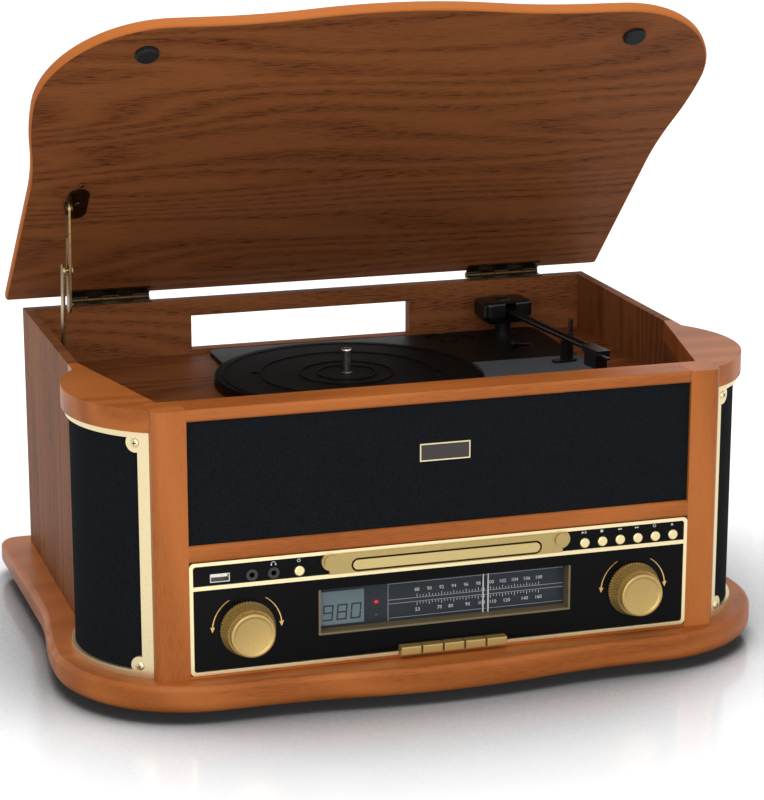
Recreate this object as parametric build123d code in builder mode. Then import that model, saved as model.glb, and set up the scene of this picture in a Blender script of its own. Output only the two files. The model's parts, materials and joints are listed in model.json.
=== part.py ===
from build123d import *
import os
from math import acos, atan2, cos, degrees, hypot, pi, radians, sin, sqrt

# Wooden record player with a hinged lid, front control panel and two corner speaker columns.
# The frame has its origin on the table under the middle of the plinth, +X to the right,
# +Y to the back and +Z up. The front faces -Y. All lengths are in millimetres.

# Plinth and feet
foot_height = 6.0
foot_radius = 13.0
foot_inset_x = 48.0
foot_inset_y = 46.0
plinth_thickness = 20.0
plinth_margin = 10.0
plinth_rear_overhang = 16.0
plinth_corner_radius = 14.0
plinth_top_round = 4.0
plinth_bottom_round = 8.0

# Cabinet
cabinet_height = 182.6
cabinet_half_width = 224.0
cabinet_depth = 328.0
wall = 7.0
back_wall = 10.0
frame_depth = 26.0
post_width = 22.5
post_round = 6.5
post_edge = 197.5
top_rail_height = 8.2
middle_rail_height = 11.6
bottom_rail_height = 2.4
panel_height = 77.4
rail_round = 2.5
ear_thickness = 15.0
cheek_thickness = 5.0
cheek_depth = 146.0
cheek_inset = 28.2
deck_thickness = 6.0
grille_set_back = 2.5
grille_thickness = 5.5
well_depth = 42.3
fit_gap = 0.2
seat_gap = 0.3

# Rounded corner columns
lobe_inset = 67.0
lobe_back = 80.0
ear_radius = 83.0
column_grille_radius = 78.0
column_grille_thickness = 4.0
column_frame_thickness = 2.5
column_bar_front = 8.0
column_bar_rear = 4.0
column_bar_end = 4.5
column_tab_radius = 6.5
column_tab_hole = 1.6
speaker_height = 76.0
speaker_share = 0.45
speaker_rim_radius = 33.0
speaker_rim_thickness = 2.5
speaker_depth = 28.0
speaker_magnet_radius = 22.0
speaker_magnet_height = 13.0
cone_wall = 2.0

# Lid, hinges and stay
lid_thickness = 10.0
lid_overhang = 2.0
lid_side_overhang = 12.5
lid_waist_overhang = 10.0
lid_waist_back = 181.0
lid_bow = 9.0
lid_bow_half = 130.0
lid_open_angle = 43.3
lid_gap = 4.2
lid_top_round = 6.0
lid_bottom_round = 1.5
bumper_radius = 8.0
bumper_x = 172.0
bumper_back = 23.0
hinge_length = 60.0
hinge_x = 157.0
hinge_knuckles = 5
hinge_knuckle_radius = 2.3
hinge_pin_radius = 1.2
hinge_bore_radius = 1.25
hinge_leaf_thickness = 1.2
hinge_leaf_width = 9.0
knuckle_gap = 0.4
link_thickness = 1.5
upper_link_half_width = 6.0
lower_link_half_width = 5.0
upper_link_length = 77.0
upper_link_inset = 11.0
lower_link_inset = 6.5
stay_lid_reach = 104.6
stay_lid_rise = 90.3
stay_pin_reach = 102.6
stay_pin_rise = 45.3
stay_wall_reach = 91.6
stay_wall_drop = 28.7
stay_pin_radius = 1.4
stay_pivot_radius = 2.5
stay_pivot_running = 0.05
stay_head_radius = 4.8
stay_head_thickness = 0.8
slot_half_width = 3.7
slot_turn = 2.5
slot_start = 23.0
slot_end = 46.5
stay_plate_thickness = 1.6
stay_leaf_length = 36.0
stay_leaf_width = 15.0
stay_leaf_offset = 6.3
stay_wall_plate_width = 30.0
stay_wall_plate_height = 24.0

# Front panel
panel_thickness = 3.0
panel_set_back = 1.5
hole_clearance = 0.1
trim_width = 2.4
trim_corner = 3.2
divider_height = 2.8
divider_drop = 17.5
control_row_drop = 11.6
bezel_x = 1.2
bezel_half_width = 82.0
bezel_stud_x = 81.0
bezel_stud_drop = 7.0
bezel_stud_radius = 4.6
bezel_lobe_radius = 6.3
bezel_proud = 1.5
slot_half_length = 67.0
slot_height = 9.4
drawer_gap = 1.3
drawer_drop = 10.8
tray_length = 140.0
tray_margin = 1.0
loader_margin = 4.0
disc_recess_radius = 60.5
disc_recess_depth = 3.6
small_recess_radius = 40.5
small_recess_depth = 4.8
display_left = -87.6
display_right = 90.4
display_top_drop = 27.0
display_height = 31.6
display_depth = 9.0
display_wall = 1.4
dial_plate_thickness = 1.6
lcd_left = -85.2
lcd_width = 31.3
lcd_height = 23.4
lcd_drop = 31.6
lcd_proud = 1.0
pointer_x = 32.0
pointer_wire = 0.8
pointer_spacing = 3.6
pointer_gap = 0.6
knob_x = 136.4
knob_height = 57.9
knob_skirt_radius = 18.9
knob_root_radius = 17.6
knob_teeth = 48
knob_cap_radius = 15.0
knob_length = 16.5
knob_skirt_thickness = 4.0
knob_cone_length = 7.0
knob_clearance = 1.0
knob_lip = 1.6
knob_dish = 0.8
shaft_radius = 3.0
shaft_clearance = 0.1
shaft_length = 14.0
pot_radius = 9.0
pot_length = 12.0
bushing_radius = 4.5
bushing_length = 5.0
button_radius = 3.6
button_proud = 2.6
button_dome = 1.0
button_depth = 8.0
button_flange = 4.4
button_flange_thickness = 1.2
button_first_x = 99.6
button_pitch = 12.93
disc_button_count = 6
record_button_x = -101.0
key_width = 14.3
key_pitch = 15.2
key_count = 5
key_height = 6.0
key_proud = 6.5
key_depth = 9.0
key_centre_x = 5.4
key_lift = 0.4
key_round = 0.8
usb_x = -154.3
usb_width = 13.1
usb_height = 5.7
usb_shell = 0.5
usb_depth = 14.0
usb_tongue = 1.9
jack_spacing = 14.7
jack_first_x = -132.9
jack_bore_radius = 1.8
jack_nut_radius = 3.9
jack_nut_height = 0.8
jack_body_radius = 3.2
jack_length = 13.0

# Turntable
platter_x = -10.4
platter_back = 196.0
platter_radius = 96.5
platter_top = 8.7
platter_mat_thickness = 1.2
platter_rim_height = 5.5
platter_plate_thickness = 2.2
platter_rim_width = 5.0
platter_hub_radius = 8.0
drive_ring_radius = 58.0
drive_ring_width = 2.5
access_hole_radius = 3.2
access_hole_orbit = 67.0
access_hole_angle = -15.0
spindle_radius = 3.6
spindle_root_radius = 3.9
spindle_running = 0.05
spindle_height = 18.0
mat_rings = (22.0, 34.5, 63.0, 90.0)
mat_ring_height = 0.4
mat_ring_width = 1.2
cutout_half = 87.0
cutout_bottom = 3.2
cutout_top = 29.7
chassis_left = -86.0
chassis_right = 178.0
chassis_front = 80.0
chassis_back = 313.0
chassis_height = 3.7
chassis_corner = 8.0
chassis_tub_inset = 9.0
chassis_tub_depth = 22.0
chassis_wall = 2.5
well_clearance = 2.0
well_floor = 1.3
adapter_x = 101.6
adapter_back = 294.0
adapter_radius = 19.0
adapter_depth = 1.5
control_plate_back = 205.0
control_plate_left = 66.0
control_plate_height = 2.6
control_plate_margin = 5.0
motor_radius = 16.0
motor_height = 18.0
motor_angle = 205.0
pulley_radius = 5.0
pulley_height = 3.2
pulley_gap = 1.0

# Tonearm
arm_x = 144.0
arm_back = 290.0
arm_length = 151.0
arm_angle = 6.65
pillar_radius = 6.2
pillar_flange_radius = 10.0
pillar_flange_height = 2.5
pillar_height = 12.0
head_width = 40.0
head_depth = 27.0
head_height = 17.0
head_taper = 5.0
arm_axis_height = 21.5
arm_radius = 2.8
yoke_gap = 0.4
yoke_margin = 1.0
trunnion_radius = 1.5
trunnion_running = 0.05
headshell_width = 10.4
headshell_length = 24.0
headshell_height = 4.5
cartridge_width = 9.6
cartridge_length = 17.0
cartridge_height = 9.4
stylus_drop = 2.2
lift_length = 15.0
rest_along = 103.0
rest_half_width = 10.0
rest_post_width = 3.0
rest_depth = 8.0
rest_base_height = 1.8
clip_thickness = 1.8
clip_length = 9.0
clip_pivot_radius = 1.2
cue_side = -11.0
cue_along = 41.0
cue_length = 30.0
cue_height = 3.5
cue_rise = 12.0
cue_barrel_radius = 3.2
cue_barrel_length = 6.0
cue_radius = 1.5
speed_x = 122.0
speed_back = 128.0

# Rear panel and inside
rear_panel_width = 240.0
rear_panel_height = 74.0
rear_panel_thickness = 2.5
rear_panel_rise = 14.0
rear_panel_lip = 6.0
phono_radius = 4.2
phono_bore = 1.6
phono_length = 9.0
phono_pitch = 18.0
inlet_width = 22.0
inlet_height = 12.0
inlet_floor = 2.0
inlet_pin_pitch = 8.6
inlet_pin_radius = 1.2
inlet_pin_length = 5.0
board_width = 190.0
board_depth = 110.0
board_thickness = 1.6
standoff_height = 7.0
standoff_radius = 4.0
transformer_width = 56.0
transformer_depth = 46.0
transformer_height = 44.0
capacitor_radius = 8.0
capacitor_height = 22.0

# Levels and faces worked out from the values above
lobe_x = cabinet_half_width - lobe_inset
lid_side = cabinet_half_width + lid_side_overhang
lid_waist = cabinet_half_width + lid_waist_overhang
lid_lobe_radius = ear_radius + lid_overhang
corner_overhang = lid_lobe_radius - lobe_back
plinth_front_overhang = corner_overhang + lid_bow + plinth_margin
plinth_depth = cabinet_depth + plinth_front_overhang + plinth_rear_overhang
front_y = plinth_front_overhang - plinth_depth / 2
back_y = front_y + cabinet_depth
lobe_y = front_y + lobe_back
base_z = foot_height + plinth_thickness
top_z = base_z + cabinet_height
ear_z = top_z - ear_thickness
deck_z = top_z - well_depth
inner_half = cabinet_half_width - wall
inner_back_y = back_y - back_wall
frame_back_y = front_y + frame_depth
panel_half = post_edge - post_width
panel_bottom_z = base_z + bottom_rail_height
panel_top_z = panel_bottom_z + panel_height
grille_bottom_z = panel_top_z + middle_rail_height
grille_top_z = top_z - top_rail_height
cheek_front_x = inner_half - cheek_inset
cheek_back_y = front_y + cheek_depth
hinge_y = back_y + hinge_knuckle_radius + seat_gap
hinge_z = top_z + lid_gap / 2
panel_y = front_y + panel_set_back
row_z = panel_top_z - control_row_drop
platter_y = front_y + platter_back
platter_z = deck_z + platter_top
chassis_z = deck_z + chassis_height
arm_y = front_y + arm_back


def save(piece, label):
    """Label a finished piece and write it to its own file."""
    piece.part.label = label
    export_step(piece.part, f"parts/{label}.step")


def front_plane(set_back):
    """A plane facing the viewer, this far behind the faces of the front posts."""
    return Plane(origin=(0, front_y + set_back, 0), x_dir=(1, 0, 0), z_dir=(0, -1, 0))


def lid_plane(height):
    """A plane along the open lid, this far above the hinge axis when the lid is shut."""
    tilt = radians(lid_open_angle)
    along = Plane(origin=(0, hinge_y, hinge_z), x_dir=(1, 0, 0), z_dir=(0, sin(tilt), cos(tilt)))
    return along.offset(height)


def between(start, end):
    """Point half way from start to end."""
    return ((start[0] + end[0]) / 2, (start[1] + end[1]) / 2)


def wavy_outline(plane, origin_y, grow, rear_y, rear_corner):
    """Sketch with straight sides, a waist, round front corners and a bowed front edge."""
    lobe_radius = lid_lobe_radius + grow
    side = lid_side + grow
    waist = (lid_waist + grow, front_y + lid_waist_back - origin_y)
    corner = (lobe_x + lobe_radius, lobe_y - origin_y)
    corner_end = (lobe_x, lobe_y - lobe_radius - origin_y)
    bow_start = (lid_bow_half, corner_end[1])
    bow_end = (0, corner_end[1] - lid_bow)
    rear = rear_y - origin_y
    with BuildSketch(plane) as outline:
        with BuildLine():
            Line((0, rear), (side, rear))
            Line((side, rear), waist)
            flare_out = TangentArc(waist, between(waist, corner), tangent=(0, -1))
            TangentArc(flare_out @ 1, corner, tangent=flare_out % 1)
            CenterArc((lobe_x, corner[1]), lobe_radius, 0, -90)
            Line(corner_end, bow_start)
            bow_out = TangentArc(bow_start, between(bow_start, bow_end), tangent=(-1, 0))
            TangentArc(bow_out @ 1, bow_end, tangent=bow_out % 1)
            mirror(about=Plane.YZ)
        make_face()
        fillet(outline.vertices().group_by(Axis.Y)[-1], radius=rear_corner)
    return outline.sketch


def lobe_band(height, inner_radius, outer_radius, x_front, x_rear):
    """Sketch of a curved band round the right corner lobe, with ends at two X positions."""
    front = [-degrees(acos((x_front - lobe_x) / r)) for r in (inner_radius, outer_radius)]
    rear = [degrees(acos((x_rear - lobe_x) / r)) for r in (inner_radius, outer_radius)]
    with BuildSketch(Plane.XY.offset(height)) as band:
        with BuildLine():
            inner = CenterArc((lobe_x, lobe_y), inner_radius, front[0], rear[0] - front[0])
            outer = CenterArc((lobe_x, lobe_y), outer_radius, front[1], rear[1] - front[1])
            Line(inner @ 0, outer @ 0)
            Line(inner @ 1, outer @ 1)
        make_face()
    return band.sketch


os.makedirs("parts", exist_ok=True)

# Plinth: the lid's outline, larger all round, with a rounded edge
with BuildPart() as plinth:
    plinth_plan = wavy_outline(Plane.XY.offset(foot_height), 0, plinth_margin,
                               back_y + plinth_rear_overhang, plinth_corner_radius)
    extrude(plinth_plan, amount=plinth_thickness)
    fillet(plinth.faces().sort_by(Axis.Z)[-1].edges(), radius=plinth_top_round)
    fillet(plinth.faces().sort_by(Axis.Z)[0].edges(), radius=plinth_bottom_round)
save(plinth, "plinth")

foot_x = cabinet_half_width - foot_inset_x
foot_y = plinth_depth / 2 - foot_inset_y
with BuildPart() as rubber_feet:
    with BuildSketch():
        with GridLocations(2 * foot_x, 2 * foot_y, 2, 2):
            Circle(foot_radius)
    extrude(amount=foot_height)
    chamfer(rubber_feet.faces().group_by(Axis.Z)[0].edges(), length=foot_height / 4)
save(rubber_feet, "rubber_feet")

# Cabinet walls
lobe_rear_x = cabinet_half_width
column_rear_y = lobe_y + sqrt((column_grille_radius - column_grille_thickness) ** 2
                              - (lobe_rear_x - lobe_x) ** 2)
side_wall_front_y = column_rear_y - wall
with BuildPart() as side_walls:
    with BuildSketch(Plane.YZ.offset(inner_half)):
        with BuildLine():
            Polyline((inner_back_y, base_z), (inner_back_y, top_z), (cheek_back_y, top_z),
                     (cheek_back_y, ear_z), (side_wall_front_y, ear_z),
                     (side_wall_front_y, base_z), close=True)
        make_face()
    extrude(amount=wall)
    mirror(about=Plane.YZ)
save(side_walls, "side_walls")

service_half = rear_panel_width / 2 - rear_panel_lip
service_bottom = base_z + rear_panel_rise + rear_panel_lip
service_top = base_z + rear_panel_rise + rear_panel_height - rear_panel_lip
back_plane = Plane(origin=(0, back_y, 0), x_dir=(-1, 0, 0), z_dir=(0, 1, 0))
with BuildPart() as rear_wall:
    with BuildSketch(back_plane):
        with Locations((0, (base_z + top_z) / 2)):
            Rectangle(2 * cabinet_half_width, cabinet_height)
        with Locations((-platter_x, deck_z + (cutout_bottom + cutout_top) / 2)):
            Rectangle(2 * cutout_half, cutout_top - cutout_bottom, mode=Mode.SUBTRACT)
        with Locations((0, (service_bottom + service_top) / 2)):
            Rectangle(2 * service_half, service_top - service_bottom, mode=Mode.SUBTRACT)
    extrude(amount=-back_wall)
save(rear_wall, "rear_wall")

# Front frame: two posts with a rounded outer edge, and three rails between them
with BuildPart() as front_posts:
    with BuildSketch(Plane.XY.offset(base_z)) as post_plan:
        with Locations(((panel_half + post_edge) / 2, front_y + frame_depth / 2)):
            Rectangle(post_width, frame_depth)
        fillet(post_plan.vertices().sort_by(Axis.Y)[:2].sort_by(Axis.X)[-1], radius=post_round)
    extrude(amount=cabinet_height)
    mirror(about=Plane.YZ)
save(front_posts, "front_posts")

with BuildPart() as front_rails:
    for low, high, rounding in (
        (grille_top_z, top_z, rail_round),
        (panel_top_z, grille_bottom_z, rail_round),
        (base_z, panel_bottom_z, bottom_rail_height / 4),
    ):
        with BuildSketch(Plane.YZ.offset(-panel_half)) as rail_section:
            with Locations((front_y + frame_depth / 2, (low + high) / 2)):
                Rectangle(frame_depth, high - low)
            fillet(rail_section.vertices().sort_by(Axis.X)[:2], radius=rounding)
        extrude(amount=2 * panel_half)
save(front_rails, "front_rails")

# Corner blocks: a round outer edge, and a slanting inner edge over the cheek boards
ear_front_y = lobe_y - sqrt(ear_radius ** 2 - (post_edge - lobe_x) ** 2)
ear_rear_y = lobe_y + sqrt(ear_radius ** 2 - (cabinet_half_width - lobe_x) ** 2)
with BuildPart() as corner_blocks:
    with BuildSketch(Plane.XY.offset(ear_z)):
        with BuildLine():
            RadiusArc((cabinet_half_width, ear_rear_y), (post_edge, ear_front_y), ear_radius)
            Polyline((post_edge, ear_front_y), (post_edge, frame_back_y),
                     (cheek_front_x, frame_back_y), (inner_half, cheek_back_y),
                     (cabinet_half_width, cheek_back_y), (cabinet_half_width, ear_rear_y))
        make_face()
    extrude(amount=ear_thickness)
    mirror(about=Plane.YZ)
save(corner_blocks, "corner_blocks")

# Cheek boards stand on the plinth under the slanting edges and carry the speakers
cheek_run = cheek_back_y - frame_back_y
cheek_long = hypot(cheek_run, cheek_inset)
cheek_across = cheek_thickness * cheek_long / cheek_run
cheek_meet_y = cheek_back_y - cheek_across * cheek_run / cheek_inset
cheek_out = Vector(cheek_run / cheek_long, -cheek_inset / cheek_long, 0)
speaker_z = base_z + speaker_height
speaker_seat = Vector(cheek_front_x + speaker_share * cheek_inset + cheek_across,
                      frame_back_y + speaker_share * cheek_run, speaker_z)
speaker_plane = Plane(origin=speaker_seat, x_dir=(0, 0, 1), z_dir=cheek_out)
speaker_hole = speaker_rim_radius - 3 * rail_round / 2
with BuildPart() as cheek_boards:
    with BuildSketch(Plane.XY.offset(base_z)):
        with BuildLine():
            Polyline((inner_half, cheek_back_y), (cheek_front_x, frame_back_y),
                     (cheek_front_x + cheek_across, frame_back_y), (inner_half, cheek_meet_y),
                     close=True)
        make_face()
    extrude(amount=ear_z - base_z)
    with BuildSketch(speaker_plane):
        Circle(speaker_hole)
    extrude(amount=-2 * cheek_thickness, mode=Mode.SUBTRACT)
    mirror(about=Plane.YZ)
save(cheek_boards, "cheek_boards")

basket_top = speaker_hole - seat_gap
basket_bottom = speaker_magnet_radius - wall
with BuildPart() as speakers:
    with BuildSketch(speaker_plane):
        Circle(speaker_rim_radius)
    extrude(amount=speaker_rim_thickness)
    with BuildSketch(speaker_plane):
        Circle(basket_top)
    with BuildSketch(speaker_plane.offset(-speaker_depth)):
        Circle(basket_bottom)
    loft()
    with BuildSketch(speaker_plane.offset(-speaker_depth)):
        Circle(speaker_magnet_radius)
    extrude(amount=-speaker_magnet_height)
    with BuildSketch(speaker_plane.offset(speaker_rim_thickness)):
        Circle(basket_top - cone_wall)
    with BuildSketch(speaker_plane.offset(cone_wall - speaker_depth)):
        Circle(basket_bottom - cone_wall)
    loft(mode=Mode.SUBTRACT)
    mirror(about=Plane.YZ)
save(speakers, "speakers")

# Deck board with a cut-out for the turntable chassis
tub_left = chassis_left + chassis_tub_inset
tub_right = chassis_right - chassis_tub_inset
tub_front = front_y + chassis_front + chassis_tub_inset
tub_back = front_y + chassis_back - chassis_tub_inset
with BuildPart() as deck_board:
    with BuildSketch(Plane.XY.offset(deck_z - deck_thickness)):
        with BuildLine():
            Polyline((0, inner_back_y), (inner_half, inner_back_y), (inner_half, cheek_back_y),
                     (cheek_front_x, frame_back_y), (0, frame_back_y))
            mirror(about=Plane.YZ)
        make_face()
        with Locations(((tub_left + tub_right) / 2, (tub_front + tub_back) / 2)):
            Rectangle(tub_right - tub_left, tub_back - tub_front, mode=Mode.SUBTRACT)
    extrude(amount=deck_thickness)
save(deck_board, "deck_board")

# Front grille: a board behind cloth, standing between the posts
with BuildPart() as grille_cloth:
    with BuildSketch(front_plane(grille_set_back)):
        with Locations((0, (grille_bottom_z + grille_top_z) / 2)):
            Rectangle(2 * (panel_half - fit_gap), grille_top_z - grille_bottom_z)
    extrude(amount=-grille_thickness)
save(grille_cloth, "grille_cloth")

# Corner columns: a curved grille, and over it a curved frame with screw tabs
with BuildPart() as column_grilles:
    grille_plan = lobe_band(base_z, column_grille_radius - column_grille_thickness,
                            column_grille_radius, post_edge, cabinet_half_width)
    extrude(grille_plan, amount=ear_z - base_z)
    mirror(about=Plane.YZ)
save(column_grilles, "column_grilles")

frame_radius = column_grille_radius + column_frame_thickness
frame_start = -degrees(acos((post_edge - lobe_x) / frame_radius))
frame_end = degrees(acos((cabinet_half_width - lobe_x) / frame_radius))
window_start = frame_start + degrees(column_bar_front / frame_radius)
window_end = frame_end - degrees(column_bar_rear / frame_radius)
tab_angle = radians(window_start + degrees(column_tab_radius / frame_radius / 4))
tab_inset = column_bar_end + column_tab_radius / 2
tab_levels = (base_z + tab_inset, ear_z - tab_inset)
with BuildPart() as column_frames:
    frame_plan = lobe_band(base_z, column_grille_radius + fit_gap, frame_radius, post_edge,
                           cabinet_half_width)
    extrude(frame_plan, amount=ear_z - base_z)
    with BuildPart(mode=Mode.PRIVATE) as window:
        with BuildSketch(Plane.XY.offset(base_z + column_bar_end)):
            with BuildLine():
                near = CenterArc((lobe_x, lobe_y), column_grille_radius - wall, window_start,
                                 window_end - window_start)
                far = CenterArc((lobe_x, lobe_y), frame_radius + wall, window_start,
                                window_end - window_start)
                Line(near @ 0, far @ 0)
                Line(near @ 1, far @ 1)
            make_face()
        extrude(amount=ear_z - base_z - 2 * column_bar_end)
        for level in tab_levels:
            tab_plane = Plane(origin=(lobe_x, lobe_y, level), x_dir=(0, 0, 1),
                              z_dir=(cos(tab_angle), sin(tab_angle), 0))
            with BuildSketch(tab_plane.offset(column_grille_radius - 2 * wall)):
                Circle(column_tab_radius)
            extrude(amount=4 * wall, mode=Mode.SUBTRACT)
    add(window.part, mode=Mode.SUBTRACT)
    for level in tab_levels:
        tab_plane = Plane(origin=(lobe_x, lobe_y, level), x_dir=(0, 0, 1),
                          z_dir=(cos(tab_angle), sin(tab_angle), 0))
        with BuildSketch(tab_plane.offset(column_grille_radius)):
            Circle(column_tab_hole)
        extrude(amount=wall, mode=Mode.SUBTRACT)
    mirror(about=Plane.YZ)
save(column_frames, "column_frames")

# Control panel: one plate with openings for everything that shows or moves through it
display_top = panel_top_z - display_top_drop
display_bottom = display_top - display_height
display_x = (display_left + display_right) / 2
display_width = display_right - display_left
drawer_z = panel_top_z - drawer_drop
key_z = panel_bottom_z + key_lift
key_row_width = (key_count - 1) * key_pitch + key_width
key_notch = key_lift + key_height + seat_gap
button_xs = [button_first_x + i * button_pitch for i in range(disc_button_count)] + [record_button_x]
key_xs = [key_centre_x + (i - (key_count - 1) / 2) * key_pitch for i in range(key_count)]
jack_xs = (jack_first_x, jack_first_x + jack_spacing)
with BuildPart() as control_panel:
    with BuildSketch(front_plane(panel_set_back)):
        with Locations((0, (panel_bottom_z + panel_top_z) / 2)):
            Rectangle(2 * panel_half, panel_height)
        with Locations(*[(x, row_z) for x in button_xs]):
            Circle(button_radius + hole_clearance, mode=Mode.SUBTRACT)
        with Locations(*[(x, row_z) for x in jack_xs]):
            Circle(jack_body_radius, mode=Mode.SUBTRACT)
        with Locations((-knob_x, knob_height), (knob_x, knob_height)):
            Circle(shaft_radius + shaft_clearance, mode=Mode.SUBTRACT)
        with Locations((usb_x, row_z)):
            Rectangle(usb_width, usb_height, mode=Mode.SUBTRACT)
        with Locations((bezel_x, drawer_z)):
            SlotOverall(2 * slot_half_length, slot_height, mode=Mode.SUBTRACT)
        with Locations((display_x, (display_top + display_bottom) / 2)):
            Rectangle(display_width, display_height, mode=Mode.SUBTRACT)
        with Locations((key_centre_x, panel_bottom_z)):
            Rectangle(key_row_width + 2 * seat_gap, 2 * key_notch, mode=Mode.SUBTRACT)
    extrude(amount=-panel_thickness)
save(control_panel, "control_panel")

# Pale gold border with its divider, and the bevelled tray of the display window
divider_z = panel_top_z - divider_drop
bezel_top_z = panel_top_z - trim_width
bezel_bottom_z = divider_z + divider_height / 2
with BuildPart() as panel_trim:
    with BuildSketch(front_plane(panel_set_back)):
        with Locations((0, (panel_bottom_z + panel_top_z) / 2)):
            RectangleRounded(2 * panel_half, panel_height, trim_corner)
            RectangleRounded(2 * (panel_half - trim_width), panel_height - 2 * trim_width,
                             trim_corner - trim_width / 2, mode=Mode.SUBTRACT)
        with Locations((0, divider_z)):
            Rectangle(2 * panel_half - trim_width, divider_height)
        with Locations((key_centre_x, panel_bottom_z)):
            Rectangle(key_row_width + 2 * seat_gap, 2 * key_notch, mode=Mode.SUBTRACT)
    extrude(amount=panel_set_back)
    for x_low, x_high, z_low, z_high in (
        (display_left, display_right, display_bottom, display_bottom + display_wall),
        (display_left, display_left + display_wall, display_bottom, display_top),
        (display_right - display_wall, display_right, display_bottom, display_top),
    ):
        with BuildSketch(front_plane(panel_set_back)):
            with Locations(((x_low + x_high) / 2, (z_low + z_high) / 2)):
                Rectangle(x_high - x_low, z_high - z_low)
        extrude(amount=-display_depth)
save(panel_trim, "panel_trim")

# Disc bezel: a raised plate with two stud lobes and the slot of the drawer
stud_z = panel_top_z - bezel_stud_drop
with BuildPart() as disc_bezel:
    with BuildSketch(front_plane(panel_set_back)):
        with Locations((bezel_x, (bezel_top_z + bezel_bottom_z) / 2)):
            Rectangle(2 * bezel_half_width, bezel_top_z - bezel_bottom_z)
        with Locations((bezel_x - bezel_stud_x, stud_z), (bezel_x + bezel_stud_x, stud_z)):
            Circle(bezel_lobe_radius)
        with Locations((bezel_x, bezel_top_z + bezel_lobe_radius)):
            Rectangle(2 * (bezel_stud_x + bezel_lobe_radius), 2 * bezel_lobe_radius, mode=Mode.SUBTRACT)
        with Locations((bezel_x, drawer_z)):
            SlotOverall(2 * slot_half_length, slot_height, mode=Mode.SUBTRACT)
    extrude(amount=panel_set_back + bezel_proud)
    with BuildSketch(front_plane(-bezel_proud)):
        with Locations((bezel_x - bezel_stud_x, stud_z), (bezel_x + bezel_stud_x, stud_z)):
            Circle(bezel_stud_radius)
    extrude(amount=bezel_proud)
save(disc_bezel, "disc_bezel")

# Disc drawer: a racetrack front bar and a tray with two stepped disc recesses
bar_half = slot_half_length - drawer_gap
bar_height = slot_height - 2 * drawer_gap
tray_half = bar_half - bar_height / 2 + tray_margin
tray_front_y = panel_y + panel_thickness
tray_top_z = drawer_z + bar_height / 2
disc_y = tray_front_y + wall + disc_recess_radius
with BuildPart() as disc_drawer:
    with BuildSketch(front_plane(-bezel_proud)):
        with Locations((bezel_x, drawer_z)):
            SlotOverall(2 * bar_half, bar_height)
    extrude(amount=-(bezel_proud + panel_set_back + panel_thickness))
    with BuildSketch(Plane.XY.offset(drawer_z - bar_height / 2)):
        with Locations((bezel_x, tray_front_y + tray_length / 2)):
            Rectangle(2 * tray_half, tray_length)
    extrude(amount=bar_height)
    with BuildSketch(Plane.XY.offset(tray_top_z)):
        with Locations((bezel_x, disc_y)):
            Circle(disc_recess_radius)
    extrude(amount=-disc_recess_depth, mode=Mode.SUBTRACT)
    with BuildSketch(Plane.XY.offset(tray_top_z)):
        with Locations((bezel_x, disc_y)):
            Circle(small_recess_radius)
    extrude(amount=-small_recess_depth, mode=Mode.SUBTRACT)
    with BuildSketch(Plane.XY.offset(tray_top_z)):
        with Locations((bezel_x, disc_y)):
            Circle(disc_recess_radius / 3)
        with Locations((bezel_x, (disc_y + tray_front_y + tray_length) / 2)):
            Rectangle(2 * disc_recess_radius / 3, tray_front_y + tray_length - disc_y)
    extrude(amount=-bar_height, mode=Mode.SUBTRACT)
save(disc_drawer, "disc_drawer")

# Disc loader: an open channel on the back of the panel, with ledges under the tray
loader_half = tray_half + loader_margin
loader_length = tray_length + 3 * wall
loader_bottom_z = tray_top_z - bar_height - 2 * chassis_wall
with BuildPart() as disc_loader:
    with BuildSketch(front_plane(panel_set_back + panel_thickness)):
        with Locations((bezel_x, (loader_bottom_z + tray_top_z + chassis_wall) / 2)):
            Rectangle(2 * loader_half, tray_top_z + chassis_wall - loader_bottom_z)
        with Locations((bezel_x, drawer_z)):
            Rectangle(2 * (tray_half + seat_gap), bar_height + 2 * seat_gap, mode=Mode.SUBTRACT)
        with Locations((bezel_x, (loader_bottom_z + chassis_wall + drawer_z) / 2)):
            Rectangle(2 * (tray_half - chassis_wall), drawer_z - loader_bottom_z - chassis_wall,
                      mode=Mode.SUBTRACT)
        with Locations((bezel_x, tray_top_z + chassis_wall)):
            Rectangle(2 * (tray_half - chassis_wall), 2 * chassis_wall, mode=Mode.SUBTRACT)
    extrude(amount=-loader_length)
save(disc_loader, "disc_loader")

# Display: dial plate at the back of the window, screen on it, and the sliding pointer
dial_y = panel_set_back + display_depth
with BuildPart() as dial_plate:
    with BuildSketch(front_plane(dial_y)):
        with Locations((display_x, (display_top + display_bottom) / 2)):
            Rectangle(display_width, display_height)
    extrude(amount=-dial_plate_thickness)
save(dial_plate, "dial_plate")

lcd_top = panel_top_z - lcd_drop
with BuildPart() as lcd_screen:
    with BuildSketch(front_plane(dial_y)):
        with Locations((lcd_left + lcd_width / 2, lcd_top - lcd_height / 2)):
            Rectangle(lcd_width, lcd_height)
    extrude(amount=lcd_proud)
save(lcd_screen, "lcd_screen")

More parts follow.
